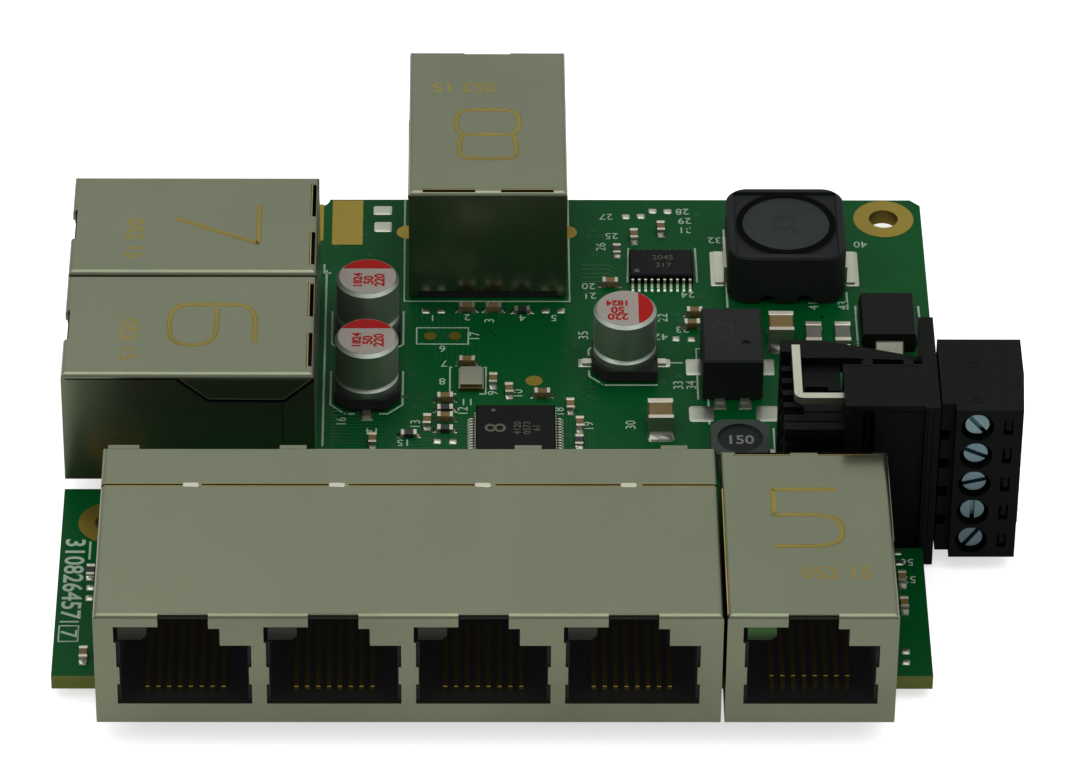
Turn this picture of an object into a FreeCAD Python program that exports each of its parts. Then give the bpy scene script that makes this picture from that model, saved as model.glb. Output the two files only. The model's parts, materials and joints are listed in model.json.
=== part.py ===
import FreeCAD, Part
import math
import os
import re
import Sketcher

# A five-port-plus-four-port industrial Ethernet switch module: a bare circuit board with a gang of
# four sockets and four single sockets round its edges, and a pluggable power connector at its right.
# X runs right along the front sockets, Y runs back, Z runs up.  Every piece is drawn in the board's
# own datum (front left corner of the board, top face at zero) and then set in the part's frame,
# whose origin is the middle of the whole outline, at the tips of the solder tails.

doc = FreeCAD.newDocument("ethernet_switch")
sheet = doc.addObject("Spreadsheet::Sheet", "Sizes")
nodes = {}
row = 0


def sizes(**cells):
    """Write driving dimensions (millimetres, counts or degrees) into the sheet, one alias each."""
    global row
    for name, number in cells.items():
        row += 1
        sheet.set(f"A{row}", name)
        sheet.set(f"B{row}", str(number))
        sheet.setAlias(f"B{row}", name)


# ---- driving dimensions -------------------------------------------------------------------------

# circuit board: outline, edge steps and the two screw holes
sizes(board_width=86.5, board_depth=75.5, board_thickness=1.6)
sizes(front_inset=2.75, left_step=28.0, corner_cut=1.0, tab_notch_x=24.1, tab_notch_radius=1.2)
sizes(notch_play=0.2, notch_front=19.0, notch_spare=0.7)
sizes(screw_hole_radius=1.6, near_hole_x=4.7, near_hole_y=22.8, far_hole_side=3.9, far_hole_back=3.3)

# sockets: folded sheet shields, moulded housings and what they hold
sizes(jack_width=16.0, jack_depth=24.6, jack_height=13.5, gang_depth=25.1, gang_side=8.37)
sizes(gang_cover=5.9, port_pitch=13.97, ports=4, shield_wall=0.25, shield_lift=0.5, bend_radius=0.5)
sizes(front_overhang=7.2, left_overhang=7.3, rear_overhang=7.6, jack_gap=0.35)
sizes(mouth_half=6.3, mouth_floor=2.8, mouth_top=9.95, step_right=3.4, step_top=12.0)
sizes(latch_half=2.35, finger_low=5.2, finger_high=7.3, finger_inward=0.25)
sizes(light_left=6.5, light_floor=10.3, light_top=12.2)
sizes(pipe_left=6.1, pipe_right=3.4, pipe_floor=10.6, pipe_top=12.1, pipe_slant=0.5, pipe_depth=9.0, pipe_face=0.1)
sizes(seam_gap=0.3, bridge_width=1.6, bridge_first=1.2, fold_slot=0.5, fold_slot_near=1.3, fold_slot_far=6.6)
sizes(back_notch_half=7.0, back_notch_top=1.1)
sizes(housing_play=0.1, cavity_half=5.95, cavity_margin=0.1, housing_depth=12.3, latch_roof=12.9)
sizes(insert_depth=11.3, insert_base=0.8, insert_half=6.65, insert_roof=0.9)
sizes(contact_pitch=1.02, contacts=8, contact_width=0.4, contact_thick=0.25, contact_bend=1.7)
sizes(contact_back=9.5, contact_rise=1.95)
sizes(pin_size=0.5, pin_pitch=2.54, pins_in_row=4, pin_row=15.6, row_gap=2.54, pin_reach=1.2, pin_hole=0.9)
sizes(tab_depth=13.3, gang_tab_depth=10.2, tab_width=1.6, tab_hole_radius=0.95, tab_short=0.2)
sizes(peg_radius=1.5, peg_play=0.1, peg_side=5.7, peg_depth=9.6)
sizes(gang_x=4.66, left_front_y=28.96, rear_jack_x=41.6)

# electrolytic capacitors
sizes(can_radius=3.15, can_height=7.0, can_foot=1.1, can_round=0.35, crimp_height=1.4, crimp_depth=0.28)
sizes(base_margin=0.15, base_height=1.5, base_cut=1.5, base_recess=0.4, can_play=0.05)
sizes(lead_width=0.8, lead_thick=0.3, lead_reach=0.9)
sizes(left_cans_x=29.5, rear_can_y=53.2, front_can_y=43.4, right_can_x=55.3, right_can_y=48.05)

# inductors, choke and diode
sizes(coil_x=72.0, coil_y=63.7, coil_width=12.0, coil_height=5.9, coil_round=2.2, coil_bore=4.65)
sizes(core_radius=4.45, core_sink=0.15, coil_lift=0.3, coil_rim=0.75, coil_recess=0.35, arch_side=1.9, arch_radius=0.85)
sizes(coil_tab_width=5.2, coil_tab_reach=1.15, coil_tab_thick=0.3, coil_tab_rise=2.2)
sizes(choke_x=66.0, choke_y=46.4, choke_width=6.0, choke_length=8.8, choke_height=5.0, choke_lift=0.3)
sizes(choke_lead_half=1.25, choke_lead_width=1.0, choke_edge=0.2, dot_radius=0.4, dot_depth=0.2)
sizes(reel_x=66.4, reel_y=32.6, reel_width=5.8, reel_height=2.8, reel_round=1.0, reel_lift=0.2)
sizes(reel_recess=2.25, reel_recess_depth=0.3)
sizes(diode_x=82.05, diode_y=53.3, diode_width=5.7, diode_length=6.8, diode_height=2.3, diode_waist=1.2)
sizes(diode_draft=0.25, diode_lift=0.1, diode_tab_width=2.9, diode_tab_reach=0.8, diode_tab_thick=0.25)

# chips with rows of leads, and the clock crystal
sizes(chip_lift=0.1, lead_foot=0.45, lead_sheet=0.15)
sizes(regulator_x=59.35, regulator_y=63.4, regulator_width=6.5, regulator_depth=4.4)
sizes(regulator_top=1.15, regulator_pitch=0.65, regulator_leads=10, regulator_lead=0.25, regulator_span=6.4)
sizes(switch_x=44.3, switch_y=35.7, switch_width=7.9, switch_top=1.4, switch_pitch=0.42)
sizes(switch_leads=16, switch_lead=0.2, switch_span=9.1, chip_edge=0.15)
sizes(crystal_x=39.9, crystal_y=45.05, crystal_width=2.5, crystal_length=3.2, crystal_height=0.8)
sizes(crystal_rim=0.15, crystal_base=0.4)

# small chip parts
sizes(chip_length=1.6, chip_width=0.8, capacitor_rise=0.8, resistor_rise=0.5, end_proud=0.04)
sizes(bulk_length=3.2, bulk_width=2.5, bulk_rise=2.5, bead_length=3.2, bead_width=1.6, bead_rise=0.7)
sizes(bulk_end=0.55)

# power connector: header on the board, plug with its screws and clamps
sizes(ways=5, way_pitch=3.5, way_first=1.0)
sizes(header_side=3.1, header_width=7.7, header_front=20.0, header_depth=6.2, header_wall=0.8)
sizes(header_under=3.4, header_over=2.1, cavity_under=1.75, cavity_over=1.35)
sizes(flange_thick=1.4, flange_back=33.6, flange_front=19.4, key_slot_x=1.7, key_slot_width=1.2)
sizes(lip_out=0.3, lip_tall=0.6, lip_leg=1.6, lip_leg_width=0.75, rib_out=0.8, rib_width=0.9, rib_first=2.0, rib_next=3.9)
sizes(comb_width=5.7, comb_front=20.6, comb_back=33.4, comb_under=1.5, comb_lift=0.1)
sizes(comb_slot=1.1, comb_wall=0.9, rim_depth=2.8, rim_tall=0.9, rim_reach=0.8, brace_drop=2.6, brace_tip=0.6)
sizes(ridge_y=6.0, ridge_depth=0.6, ridge_width=3.0, ridge_tall=0.5, sink_y=4.0, sink_depth=2.0, sink_width=1.7)
sizes(post_size=0.8, post_play=0.05, post_inset=1.4, post_y=23.5, post_step=1.88)
sizes(post_end=0.8, post_hole=0.65, post_round=0.9)
sizes(plug_gap=0.2, plug_width=8.1, plug_front=19.0, plug_depth=11.1, plug_margin=2.1)
sizes(plug_foot_step=4.4, plug_foot_inset=0.4, plug_taper=0.35, ledge_width=1.3, ledge_depth=1.1)
sizes(key_groove=1.2, key_groove_wide=0.9, key_groove_deep=1.6)
sizes(nose_length=7.6, nose_play=0.25, nose_hole=1.9)
sizes(well_radius=1.55, screw_inset=3.4, screw_head_radius=1.15, screw_head=1.2, screw_sunk=0.55)
sizes(screw_shank=0.9, screw_length=3.2, slot_width=0.45, slot_depth=0.6, screw_play=0.06)
sizes(probe_inset=6.35, probe_width=0.9, probe_tall=1.8, probe_deep=0.8)
sizes(seat_wall=0.65, clamp_width=2.7, clamp_length=3.8, clamp_height=5.0, clamp_wall=0.7, clamp_front=0.9)
sizes(clamp_play=0.15, clamp_travel=1.4, entry_tall=2.3, entry_wide=2.6)
sizes(socket_wall=0.25, socket_length=5.0, socket_play=0.05, bar_width=1.7, bar_end=1.7)

doc.recompute()

# ---- helpers ------------------------------------------------------------------------------------


def bound(text):
    """A formula in the sheet's own names, as an expression of this document."""
    return re.sub(r"[a-z]\w*", lambda name: "Sizes." + name.group(), text)


def value(text):
    """What such a formula comes to now."""
    return float(sheet.evalExpression(bound(text)))


def bind(thing, name, text):
    thing.setExpression(name, bound(text))


# middle of the whole outline and height of the board's top face, in the board's datum
HEADER_RIGHT = "(board_width - header_side)"
HEADER_LEFT = "(board_width - header_side - header_width)"
PLUG_LEFT = "(board_width - header_side + flange_thick + plug_gap)"
PLUG_RIGHT = "(board_width - header_side + flange_thick + plug_gap + plug_width)"
MIDDLE_X = f"{PLUG_RIGHT} / 2"
MIDDLE_Y = "(board_depth + rear_overhang - front_overhang) / 2"
BOARD_TOP = "board_thickness + pin_reach"

# where the header's comb starts and its posts turn down
COMB_LEFT = f"({HEADER_LEFT} - comb_width)"
POST_TURN = f"({HEADER_LEFT} - comb_width + post_inset)"


def seat(thing, x="0", y="0", z="0", turn=0, axis=FreeCAD.Vector(0, 0, 1)):
    """Set a finished piece at a point of the board's datum, turned about an axis through it."""
    thing.Placement = FreeCAD.Placement(FreeCAD.Vector(), FreeCAD.Rotation(axis, turn))
    bind(thing, "Placement.Base.x", f"({x}) - {MIDDLE_X}")
    bind(thing, "Placement.Base.y", f"({y}) - {MIDDLE_Y}")
    bind(thing, "Placement.Base.z", f"({z}) + {BOARD_TOP}")


def new_body(name, **where):
    body = doc.addObject("PartDesign::Body", name)
    body.AllowCompound = True
    seat(body, **where)
    return body


def keep(name, thing):
    """List a finished piece under the name of its node."""
    thing.Label = name
    nodes[name] = thing
    return thing


def new_sketch(body, plane, lift="0"):
    """A sketch on one of the body's own planes, moved along the plane's own axis."""
    sketch = body.newObject("Sketcher::SketchObject", "Outline")
    support = [face for face in body.Origin.OriginFeatures if face.Role == plane][0]
    sketch.AttachmentSupport = [(support, "")]
    sketch.MapMode = "FlatFace"
    sign = "-1" if plane == "XZ_Plane" else "1"
    if lift != "0":
        bind(sketch, "AttachmentOffset.Base.z", f"{sign} * ({lift})")
    return sketch


def fix_point(sketch, number, point, x, y):
    """Dimension one point of a sketch from the sketch's origin."""
    for way, text, axis in (("DistanceX", x, -2), ("DistanceY", y, -1)):
        if text == "0":
            sketch.addConstraint(Sketcher.Constraint("PointOnObject", number, point, axis))
        else:
            place = sketch.addConstraint(Sketcher.Constraint(way, -1, 1, number, point, value(text)))
            bind(sketch, f"Constraints[{place}]", text)


def outline(sketch, corners):
    """A closed outline of straight edges, every corner dimensioned."""
    points = [FreeCAD.Vector(value(x), value(y), 0) for x, y in corners]
    first = sketch.GeometryCount
    count = len(points)
    sketch.addGeometry([Part.LineSegment(points[i], points[(i + 1) % count]) for i in range(count)])
    for i in range(count):
        after = first + (i + 1) % count
        sketch.addConstraint(Sketcher.Constraint("Coincident", first + i, 2, after, 1))
    for i, (x, y) in enumerate(corners):
        fix_point(sketch, first + i, 1, x, y)


def rectangle(sketch, left, right, low, high):
    outline(sketch, [(left, low), (right, low), (right, high), (left, high)])


def circle(sketch, x, y, radius):
    middle = FreeCAD.Vector(value(x), value(y), 0)
    ring = sketch.addGeometry(Part.Circle(middle, FreeCAD.Vector(0, 0, 1), value(radius)))
    place = sketch.addConstraint(Sketcher.Constraint("Radius", ring, value(radius)))
    bind(sketch, f"Constraints[{place}]", radius)
    fix_point(sketch, ring, 3, x, y)


def flat_hole(sketch, x, y, radius, flats=8):
    """A round drawn with a few flats, each that radius from its middle, because there are many."""
    corners = []
    for i in range(flats):
        angle = math.pi * (2 * i + 1) / flats
        along = round(math.cos(angle) / math.cos(math.pi / flats), 4)
        across = round(math.sin(angle) / math.cos(math.pi / flats), 4)
        corners.append((f"{x} + {radius} * ({along})", f"{y} + {radius} * ({across})"))
    outline(sketch, corners)


def pad(body, sketch, length, up=True, both_ways=False):
    """Add material along the plane's own axis (up) or against it."""
    feature = body.newObject("PartDesign::Pad", "Pad")
    feature.Profile = sketch
    bind(feature, "Length", length)
    with_normal = up != sketch_is_backward(sketch)
    feature.Reversed = not with_normal
    if both_ways:
        feature.SideType = "Symmetric"
    return feature


def pocket(body, sketch, length=None, up=False):
    """Remove material along the plane's own axis (up) or against it, all the way without a length."""
    feature = body.newObject("PartDesign::Pocket", "Pocket")
    feature.Profile = sketch
    if length is None:
        feature.Type = "ThroughAll"
    else:
        bind(feature, "Length", length)
    with_normal = up != sketch_is_backward(sketch)
    feature.Reversed = with_normal
    return feature


def sketch_is_backward(sketch):
    """A sketch on the XZ plane looks along -Y, so its normal runs against the axis."""
    return sketch.AttachmentSupport[0][0].Role == "XZ_Plane"


def row_of(body, feature, axis, count, pitch):
    """A row along an axis of the feature's own sketch."""
    pattern = body.newObject("PartDesign::LinearPattern", "Row")
    pattern.Direction = (feature.Profile[0], [axis])
    pattern.Mode = "Spacing"
    bind(pattern, "Offset", pitch)
    bind(pattern, "Occurrences", count)
    return pattern


def repeat(body, feature, axis, count, pitch, backward=False):
    pattern = row_of(body, feature, axis, count, pitch)
    pattern.Originals = [feature]
    pattern.Reversed = backward
    body.Tip = pattern
    return pattern


def repeat_rows(body, feature, axis, count, pitch, outer_count, outer_pitch):
    """A row, and that row again along the same axis."""
    both = body.newObject("PartDesign::MultiTransform", "Rows")
    both.Originals = [feature]
    both.Transformations = [
        row_of(body, feature, axis, count, pitch),
        row_of(body, feature, axis, outer_count, outer_pitch),
    ]
    body.Tip = both
    return both


def edge_names(feature, wanted):
    return [f"Edge{i + 1}" for i, edge in enumerate(feature.Shape.Edges) if wanted(edge)]


def runs_along(edge, axis):
    """Whether a straight edge lies along X (0), Y (1) or Z (2)."""
    spread = edge.BoundBox
    lengths = (spread.XLength, spread.YLength, spread.ZLength)
    return lengths[axis] > 1e-4 and sum(lengths) - lengths[axis] < 1e-4


def soften(body, kind, size, wanted):
    """Fillet or chamfer the edges of the body's last feature that a test picks out."""
    doc.recompute()
    base = body.Tip
    feature = body.newObject("PartDesign::" + kind, kind)
    feature.Base = (base, edge_names(base, wanted))
    bind(feature, "Radius" if kind == "Fillet" else "Size", size)
    return feature


def group(name, things):
    """Several separate solids of one kind as one node."""
    together = doc.addObject("Part::Compound", name)
    together.Links = things
    return keep(name, together)


# ---- sockets ------------------------------------------------------------------------------------

# name, ports, place of the first port's middle on the mouth face, turn about Z
GANG_SPAN = "(ports - 1) * port_pitch"
JACKS = (
    ("gang", "gang_x + gang_side", "-front_overhang", 0),
    ("front_jack", f"gang_x + 2 * gang_side + {GANG_SPAN} + jack_gap + jack_width / 2", "-front_overhang", 0),
    ("left_front_jack", "0", "left_front_y + jack_width / 2", -90),
    ("left_rear_jack", "0", "left_front_y + jack_gap + 1.5 * jack_width", -90),
    ("rear_jack", "rear_jack_x", "board_depth + rear_overhang", 180),
)


class Jack:
    """One socket body: where it stands and the sizes that differ between the gang and a single."""

    def __init__(self, name, x, y, turn):
        self.name = name
        self.where = {"x": x, "y": y, "turn": turn}
        self.is_gang = name == "gang"
        self.last_port = GANG_SPAN if self.is_gang else "0"
        self.side = "gang_side" if self.is_gang else "jack_width / 2"
        self.depth = "gang_depth" if self.is_gang else "jack_depth"
        self.tab_depth = "gang_tab_depth" if self.is_gang else "tab_depth"
        self.ports = "ports" if self.is_gang else "1"
        self.left = f"-({self.side})"
        self.right = f"{self.last_port} + {self.side}"

    def port_middles(self):
        count = int(value("ports")) if self.is_gang else 1
        return [f"{i} * port_pitch" for i in range(count)]

    def body(self, piece):
        return new_body(f"{self.name}_{piece}", **self.where)

    def on_board(self, x, y):
        """A point of the socket, in the board's datum."""
        at_x, at_y = self.where["x"], self.where["y"]
        if self.where["turn"] == 0:
            return f"{at_x} + ({x})", f"{at_y} + ({y})"
        if self.where["turn"] == 180:
            return f"{at_x} - ({x})", f"{at_y} - ({y})"
        return f"{at_x} + ({y})", f"{at_y} - ({x})"


def mouth_corners(middle):
    """The opening cut in a shield's front: plug space, latch steps, light window, spring fingers."""
    points = [
        ("-mouth_half", "mouth_floor"),
        ("mouth_half", "mouth_floor"),
        ("mouth_half", "finger_low"),
        ("mouth_half - finger_inward", "finger_low"),
        ("mouth_half - finger_inward", "finger_high"),
        ("mouth_half", "finger_high"),
        ("mouth_half", "mouth_top"),
        ("step_right", "mouth_top"),
        ("step_right", "step_top"),
        ("-latch_half", "step_top"),
        ("-latch_half", "light_top"),
        ("-light_left", "light_top"),
        ("-light_left", "light_floor"),
        ("-mouth_half", "light_floor"),
        ("-mouth_half", "finger_high"),
        ("-mouth_half + finger_inward", "finger_high"),
        ("-mouth_half + finger_inward", "finger_low"),
        ("-mouth_half", "finger_low"),
    ]
    return [(f"{middle} + {x}", z) for x, z in points]


def make_shield(jack):
    """Folded sheet: front with the mouths, roof, sides and back, open below, with two ground tabs."""
    body = jack.body("shield")
    shell_depth = "gang_depth - gang_cover" if jack.is_gang else jack.depth
    front = new_sketch(body, "XZ_Plane")
    rectangle(front, jack.left, jack.right, "shield_lift", "jack_height")
    pad(body, front, shell_depth)
    top = value("jack_height")
    low = value("shield_lift")
    far = value(shell_depth)

    def is_fold(edge):
        middle = edge.CenterOfMass
        return middle.z > top - 1e-3 and (middle.y < far - 1e-3 or not jack.is_gang)

    soften(body, "Fillet", "bend_radius", is_fold)
    hollow = new_sketch(body, "XY_Plane")
    hollow_back = f"{shell_depth} + 1" if jack.is_gang else f"{shell_depth} - shield_wall"
    rectangle(hollow, f"{jack.left} + shield_wall", f"{jack.right} - shield_wall", "shield_wall", hollow_back)
    pocket(body, hollow, "jack_height - shield_wall", up=True)
    for middle in jack.port_middles():
        mouth = new_sketch(body, "XZ_Plane")
        outline(mouth, mouth_corners(middle))
        pocket(body, mouth, "2 * shield_wall", up=True)
        latch = new_sketch(body, "XZ_Plane")
        rectangle(latch, f"{middle} - latch_half", f"{middle} + latch_half", "step_top - 0.1", "jack_height + 1")
        pocket(body, latch, "bend_radius", up=True)
    if not jack.is_gang:
        for sign in ("-", ""):
            slot = new_sketch(body, "XY_Plane", "jack_height + 1")
            ends = [f"{sign}1 * fold_slot_near", f"{sign}1 * fold_slot_far"]
            ends.sort(key=value)
            slot_back = f"{jack.depth} - shield_wall"
            rectangle(slot, ends[0], ends[1], f"{slot_back} - fold_slot", slot_back)
            pocket(body, slot, "1 + 2 * shield_wall")
        notch = new_sketch(body, "XZ_Plane", f"{jack.depth} - 2 * shield_wall")
        rectangle(notch, "-back_notch_half", "back_notch_half", "0", "back_notch_top")
        pocket(body, notch, "3 * shield_wall", up=True)
    for inner, outer in ((f"{jack.left} + shield_wall", jack.left), (f"{jack.right} - shield_wall", jack.right)):
        tab = new_sketch(body, "XY_Plane", "-(board_thickness + pin_reach - tab_short)")
        ends = sorted((inner, outer), key=value)
        tab_front = f"{jack.tab_depth} - tab_width / 2"
        rectangle(tab, ends[0], ends[1], tab_front, f"{tab_front} + tab_width")
        pad(body, tab, "board_thickness + pin_reach - tab_short + shield_lift + 2 * shield_wall")
    assert low < top
    return keep(f"{jack.name}_shield", body)


def make_rear_cover(jack):
    """The gang's second folded sheet, which closes its back and is bridged to the roof by small tabs."""
    body = jack.body("rear_cover")
    start = "gang_depth - gang_cover + seam_gap"
    front = new_sketch(body, "XZ_Plane", start)
    rectangle(front, jack.left, jack.right, "shield_lift", "jack_height")
    pad(body, front, "gang_cover - seam_gap")
    top = value("jack_height")
    near = value(start)

    def is_fold(edge):
        middle = edge.CenterOfMass
        return middle.z > top - 1e-3 and middle.y > near + 1e-3

    soften(body, "Fillet", "bend_radius", is_fold)
    hollow = new_sketch(body, "XY_Plane")
    rectangle(hollow, f"{jack.left} + shield_wall", f"{jack.right} - shield_wall",
              f"{start} - 1", "gang_depth - shield_wall")
    pocket(body, hollow, "jack_height - shield_wall", up=True)
    bridge = new_sketch(body, "XY_Plane", "jack_height - shield_wall")
    rectangle(bridge, "-bridge_first + 0.8", "-bridge_first + 0.8 + bridge_width", f"{start} - seam_gap", start)
    first = pad(body, bridge, "shield_wall")
    repeat(body, first, "H_Axis", "ports", "port_pitch")
    return keep(f"{jack.name}_rear_cover", body)


def cavity_corners(middle):
    """The plug space through a housing, with its latch channel and the light's pocket."""
    points = [
        ("-cavity_half", "mouth_floor + cavity_margin"),
        ("cavity_half", "mouth_floor + cavity_margin"),
        ("cavity_half", "mouth_top - cavity_margin"),
        ("step_right - cavity_margin", "mouth_top - cavity_margin"),
        ("step_right - cavity_margin", "step_top - cavity_margin"),
        ("latch_half", "step_top - cavity_margin"),
        ("latch_half", "latch_roof"),
        ("-latch_half", "latch_roof"),
        ("-latch_half", "light_top + cavity_margin"),
        ("-light_left - cavity_margin", "light_top + cavity_margin"),
        ("-light_left - cavity_margin", "light_floor - cavity_margin"),
        ("-cavity_half", "light_floor - cavity_margin"),
    ]
    return [(f"{middle} + {x}", z) for x, z in points]


def make_housing(jack):
    """Moulded block just inside the shield, open front to back for each plug, on two board pegs."""
    body = jack.body("housing")
    block = new_sketch(body, "XZ_Plane", "shield_wall + housing_play")
    side = "shield_wall + housing_play"
    rectangle(block, f"{jack.left} + {side}", f"{jack.right} - ({side})",
              "shield_lift + housing_play", f"jack_height - ({side})")
    for middle in jack.port_middles():
        outline(block, cavity_corners(middle))
    pad(body, block, "housing_depth")
    pegs = new_sketch(body, "XY_Plane", "-board_thickness")
    flat_hole(pegs, "-peg_side", "peg_depth", "peg_radius")
    flat_hole(pegs, f"{jack.last_port} + peg_side", "peg_depth", "peg_radius")
    pad(body, pegs, "board_thickness + shield_lift + 2 * housing_play")
    return keep(f"{jack.name}_housing", body)


INSERT_FRONT = "shield_wall + housing_play + housing_depth"


def make_insert(jack):
    """Block behind each plug space that carries the contacts, the transformers and the board pins."""
    body = jack.body("insert")
    block = new_sketch(body, "XZ_Plane", INSERT_FRONT)
    rectangle(block, "-insert_half", "insert_half", "insert_base", "jack_height - insert_roof")
    first = pad(body, block, "insert_depth")
    if jack.is_gang:
        repeat(body, first, "H_Axis", "ports", "port_pitch")
    return keep("gang_inserts" if jack.is_gang else f"{jack.name}_insert", body)


def make_contacts(jack):
    """Spring contacts: along the floor from the insert, back over a front bend and up to the rear."""
    body = jack.body("contacts")
    floor = "mouth_floor + cavity_margin + 0.1"
    tip = "contact_bend"
    strip = new_sketch(body, "YZ_Plane", "-(contacts - 1) / 2 * contact_pitch - contact_width / 2")
    outline(strip, [
        (INSERT_FRONT, floor),
        (INSERT_FRONT, f"{floor} + contact_thick"),
        (f"{tip} + 2 * contact_thick", f"{floor} + contact_thick"),
        ("contact_back", f"{floor} + contact_rise"),
        ("contact_back", f"{floor} + contact_rise + contact_thick"),
        (tip, f"{floor} + 2 * contact_thick"),
        (tip, floor),
    ])
    first = pad(body, strip, "contact_width")
    if jack.is_gang:
        repeat_rows(body, first, "N_Axis", "contacts", "contact_pitch", "ports", "port_pitch")
    else:
        repeat(body, first, "N_Axis", "contacts", "contact_pitch")
    return keep(f"{jack.name}_contacts", body)


def make_light(jack):
    """Indicator: a clear block behind the upper left window of each mouth, its inner end slanted."""
    body = jack.body("light")
    face = new_sketch(body, "XZ_Plane", "pipe_face")
    outline(face, [
        ("-pipe_left", "pipe_floor"),
        ("-pipe_right - pipe_slant", "pipe_floor"),
        ("-pipe_right", "pipe_floor + pipe_slant"),
        ("-pipe_right", "pipe_top"),
        ("-pipe_left", "pipe_top"),
    ])
    first = pad(body, face, "pipe_depth")
    if jack.is_gang:
        repeat(body, first, "H_Axis", "ports", "port_pitch")
    return keep("gang_lights" if jack.is_gang else f"{jack.name}_light", body)


def make_pins(jack):
    """Two staggered rows of square board pins below each insert."""
    body = jack.body("pins")
    rows = new_sketch(body, "XY_Plane", "-(board_thickness + pin_reach)")
    for shift, row_y in (("-0.25", "pin_row"), ("0.25", "pin_row + row_gap")):
        left = f"-(pins_in_row - 1) / 2 * pin_pitch + {shift} * pin_pitch - pin_size / 2"
        rectangle(rows, left, f"{left} + pin_size", f"{row_y} - pin_size / 2", f"{row_y} + pin_size / 2")
    first = pad(body, rows, "board_thickness + pin_reach + insert_base")
    if jack.is_gang:
        repeat_rows(body, first, "H_Axis", "pins_in_row", "pin_pitch", "ports", "port_pitch")
    else:
        repeat(body, first, "H_Axis", "pins_in_row", "pin_pitch")
    return body


jacks = [Jack(*facts) for facts in JACKS]
for jack in jacks:
    make_shield(jack)
    if jack.is_gang:
        make_rear_cover(jack)
    make_housing(jack)
    make_insert(jack)
    make_contacts(jack)
    make_light(jack)
group("jack_pins", [make_pins(jack) for jack in jacks])

# ---- circuit board ------------------------------------------------------------------------------


def make_board():
    body = new_body("circuit_board")
    edge = new_sketch(body, "XY_Plane")
    outline(edge, [
        ("0", "0"),
        ("board_width - front_inset", "0"),
        ("board_width - front_inset", "notch_front"),
        (f"{HEADER_LEFT} - notch_play", "notch_front"),
        (f"{HEADER_LEFT} - notch_play", "flange_back + notch_spare"),
        ("board_width", "flange_back + notch_spare"),
        ("board_width", "board_depth - corner_cut"),
        ("board_width - corner_cut", "board_depth"),
        ("left_overhang", "board_depth"),
        ("left_overhang", "left_step"),
        ("0", "left_step"),
    ])
    pad(body, edge, "board_thickness", up=False)
    screw_holes = new_sketch(body, "XY_Plane")
    circle(screw_holes, "near_hole_x", "near_hole_y", "screw_hole_radius")
    circle(screw_holes, "board_width - far_hole_side", "board_depth - far_hole_back", "screw_hole_radius")
    circle(screw_holes, "tab_notch_x", "board_depth", "tab_notch_radius")
    pocket(body, screw_holes)
    for jack in jacks:
        drill_socket(body, jack)
    posts = new_sketch(body, "XY_Plane")
    flat_hole(posts, POST_TURN, "post_y", "post_hole")
    first = pocket(body, posts)
    repeat(body, first, "V_Axis", "ways", "post_step")
    return keep("circuit_board", body)


def drill_socket(body, jack):
    """Holes below one socket: ground tabs, pegs and the two rows of pins for each port."""
    holes = new_sketch(body, "XY_Plane")
    for side in (f"{jack.left} + shield_wall / 2", f"{jack.right} - shield_wall / 2"):
        flat_hole(holes, *jack.on_board(side, jack.tab_depth), "tab_hole_radius")
    for side in ("-peg_side", f"{jack.last_port} + peg_side"):
        flat_hole(holes, *jack.on_board(side, "peg_depth"), "(peg_radius + peg_play)")
    pocket(body, holes)
    pins = new_sketch(body, "XY_Plane")
    for shift, row_y in (("-0.25", "pin_row"), ("0.25", "pin_row + row_gap")):
        x = f"-(pins_in_row - 1) / 2 * pin_pitch + {shift} * pin_pitch"
        flat_hole(pins, *jack.on_board(x, row_y), "pin_hole / 2", 4)
    first = pocket(body, pins)
    if jack.is_gang:
        repeat_rows(body, first, "H_Axis", "pins_in_row", "pin_pitch", "ports", "port_pitch")
    else:
        sideways = jack.where["turn"] == -90
        axis = "V_Axis" if sideways else "H_Axis"
        repeat(body, first, axis, "pins_in_row", "pin_pitch", backward=jack.where["turn"] != 0)


make_board()

# ---- electrolytic capacitors --------------------------------------------------------------------


def make_can(name, **where):
    """Drawn aluminium can: rolled rim, crimp groove near its foot, flat printed top."""
    body = new_body(name, **where)
    half = new_sketch(body, "XZ_Plane")
    outline(half, [
        ("0", "can_foot"),
        ("can_radius", "can_foot"),
        ("can_radius", "can_foot + crimp_height - crimp_depth"),
        ("can_radius - crimp_depth", "can_foot + crimp_height"),
        ("can_radius", "can_foot + crimp_height + crimp_depth"),
        ("can_radius", "can_height - can_round"),
        ("can_radius - can_round", "can_height"),
        ("0", "can_height"),
    ])
    turned = body.newObject("PartDesign::Revolution", "Turned")
    turned.Profile = half
    turned.ReferenceAxis = (half, ["V_Axis"])
    turned.Angle = 360
    return keep(name, body)


def make_base(name, **where):
    """Moulded foot: square plate, two corners cut on the plus side, four posts round the can's seat."""
    body = new_body(name, **where)
    plate = new_sketch(body, "XY_Plane", "lead_thick")
    half = "(can_radius + base_margin)"
    outline(plate, [
        (f"-{half}", f"-{half} + base_cut"),
        (f"-{half} + base_cut", f"-{half}"),
        (f"{half} - base_cut", f"-{half}"),
        (half, f"-{half} + base_cut"),
        (half, half),
        (f"-{half}", half),
    ])
    pad(body, plate, "base_height - lead_thick")
    seat_ring = new_sketch(body, "XY_Plane", "base_height")
    flat_hole(seat_ring, "0", "0", "(can_radius + can_play)")
    pocket(body, seat_ring, "base_recess")
    return keep(name, body)


def make_leads(name, **where):
    """Two flat leads, out from under the foot at its front and back."""
    body = new_body(name, **where)
    for sign in ("-", ""):
        strip = new_sketch(body, "XY_Plane")
        ends = sorted((f"{sign}1 * 0.9", f"{sign}1 * ((can_radius + base_margin) + lead_reach)"), key=value)
        rectangle(strip, "-lead_width / 2", "lead_width / 2", ends[0], ends[1])
        pad(body, strip, "lead_thick")
    return body


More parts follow.
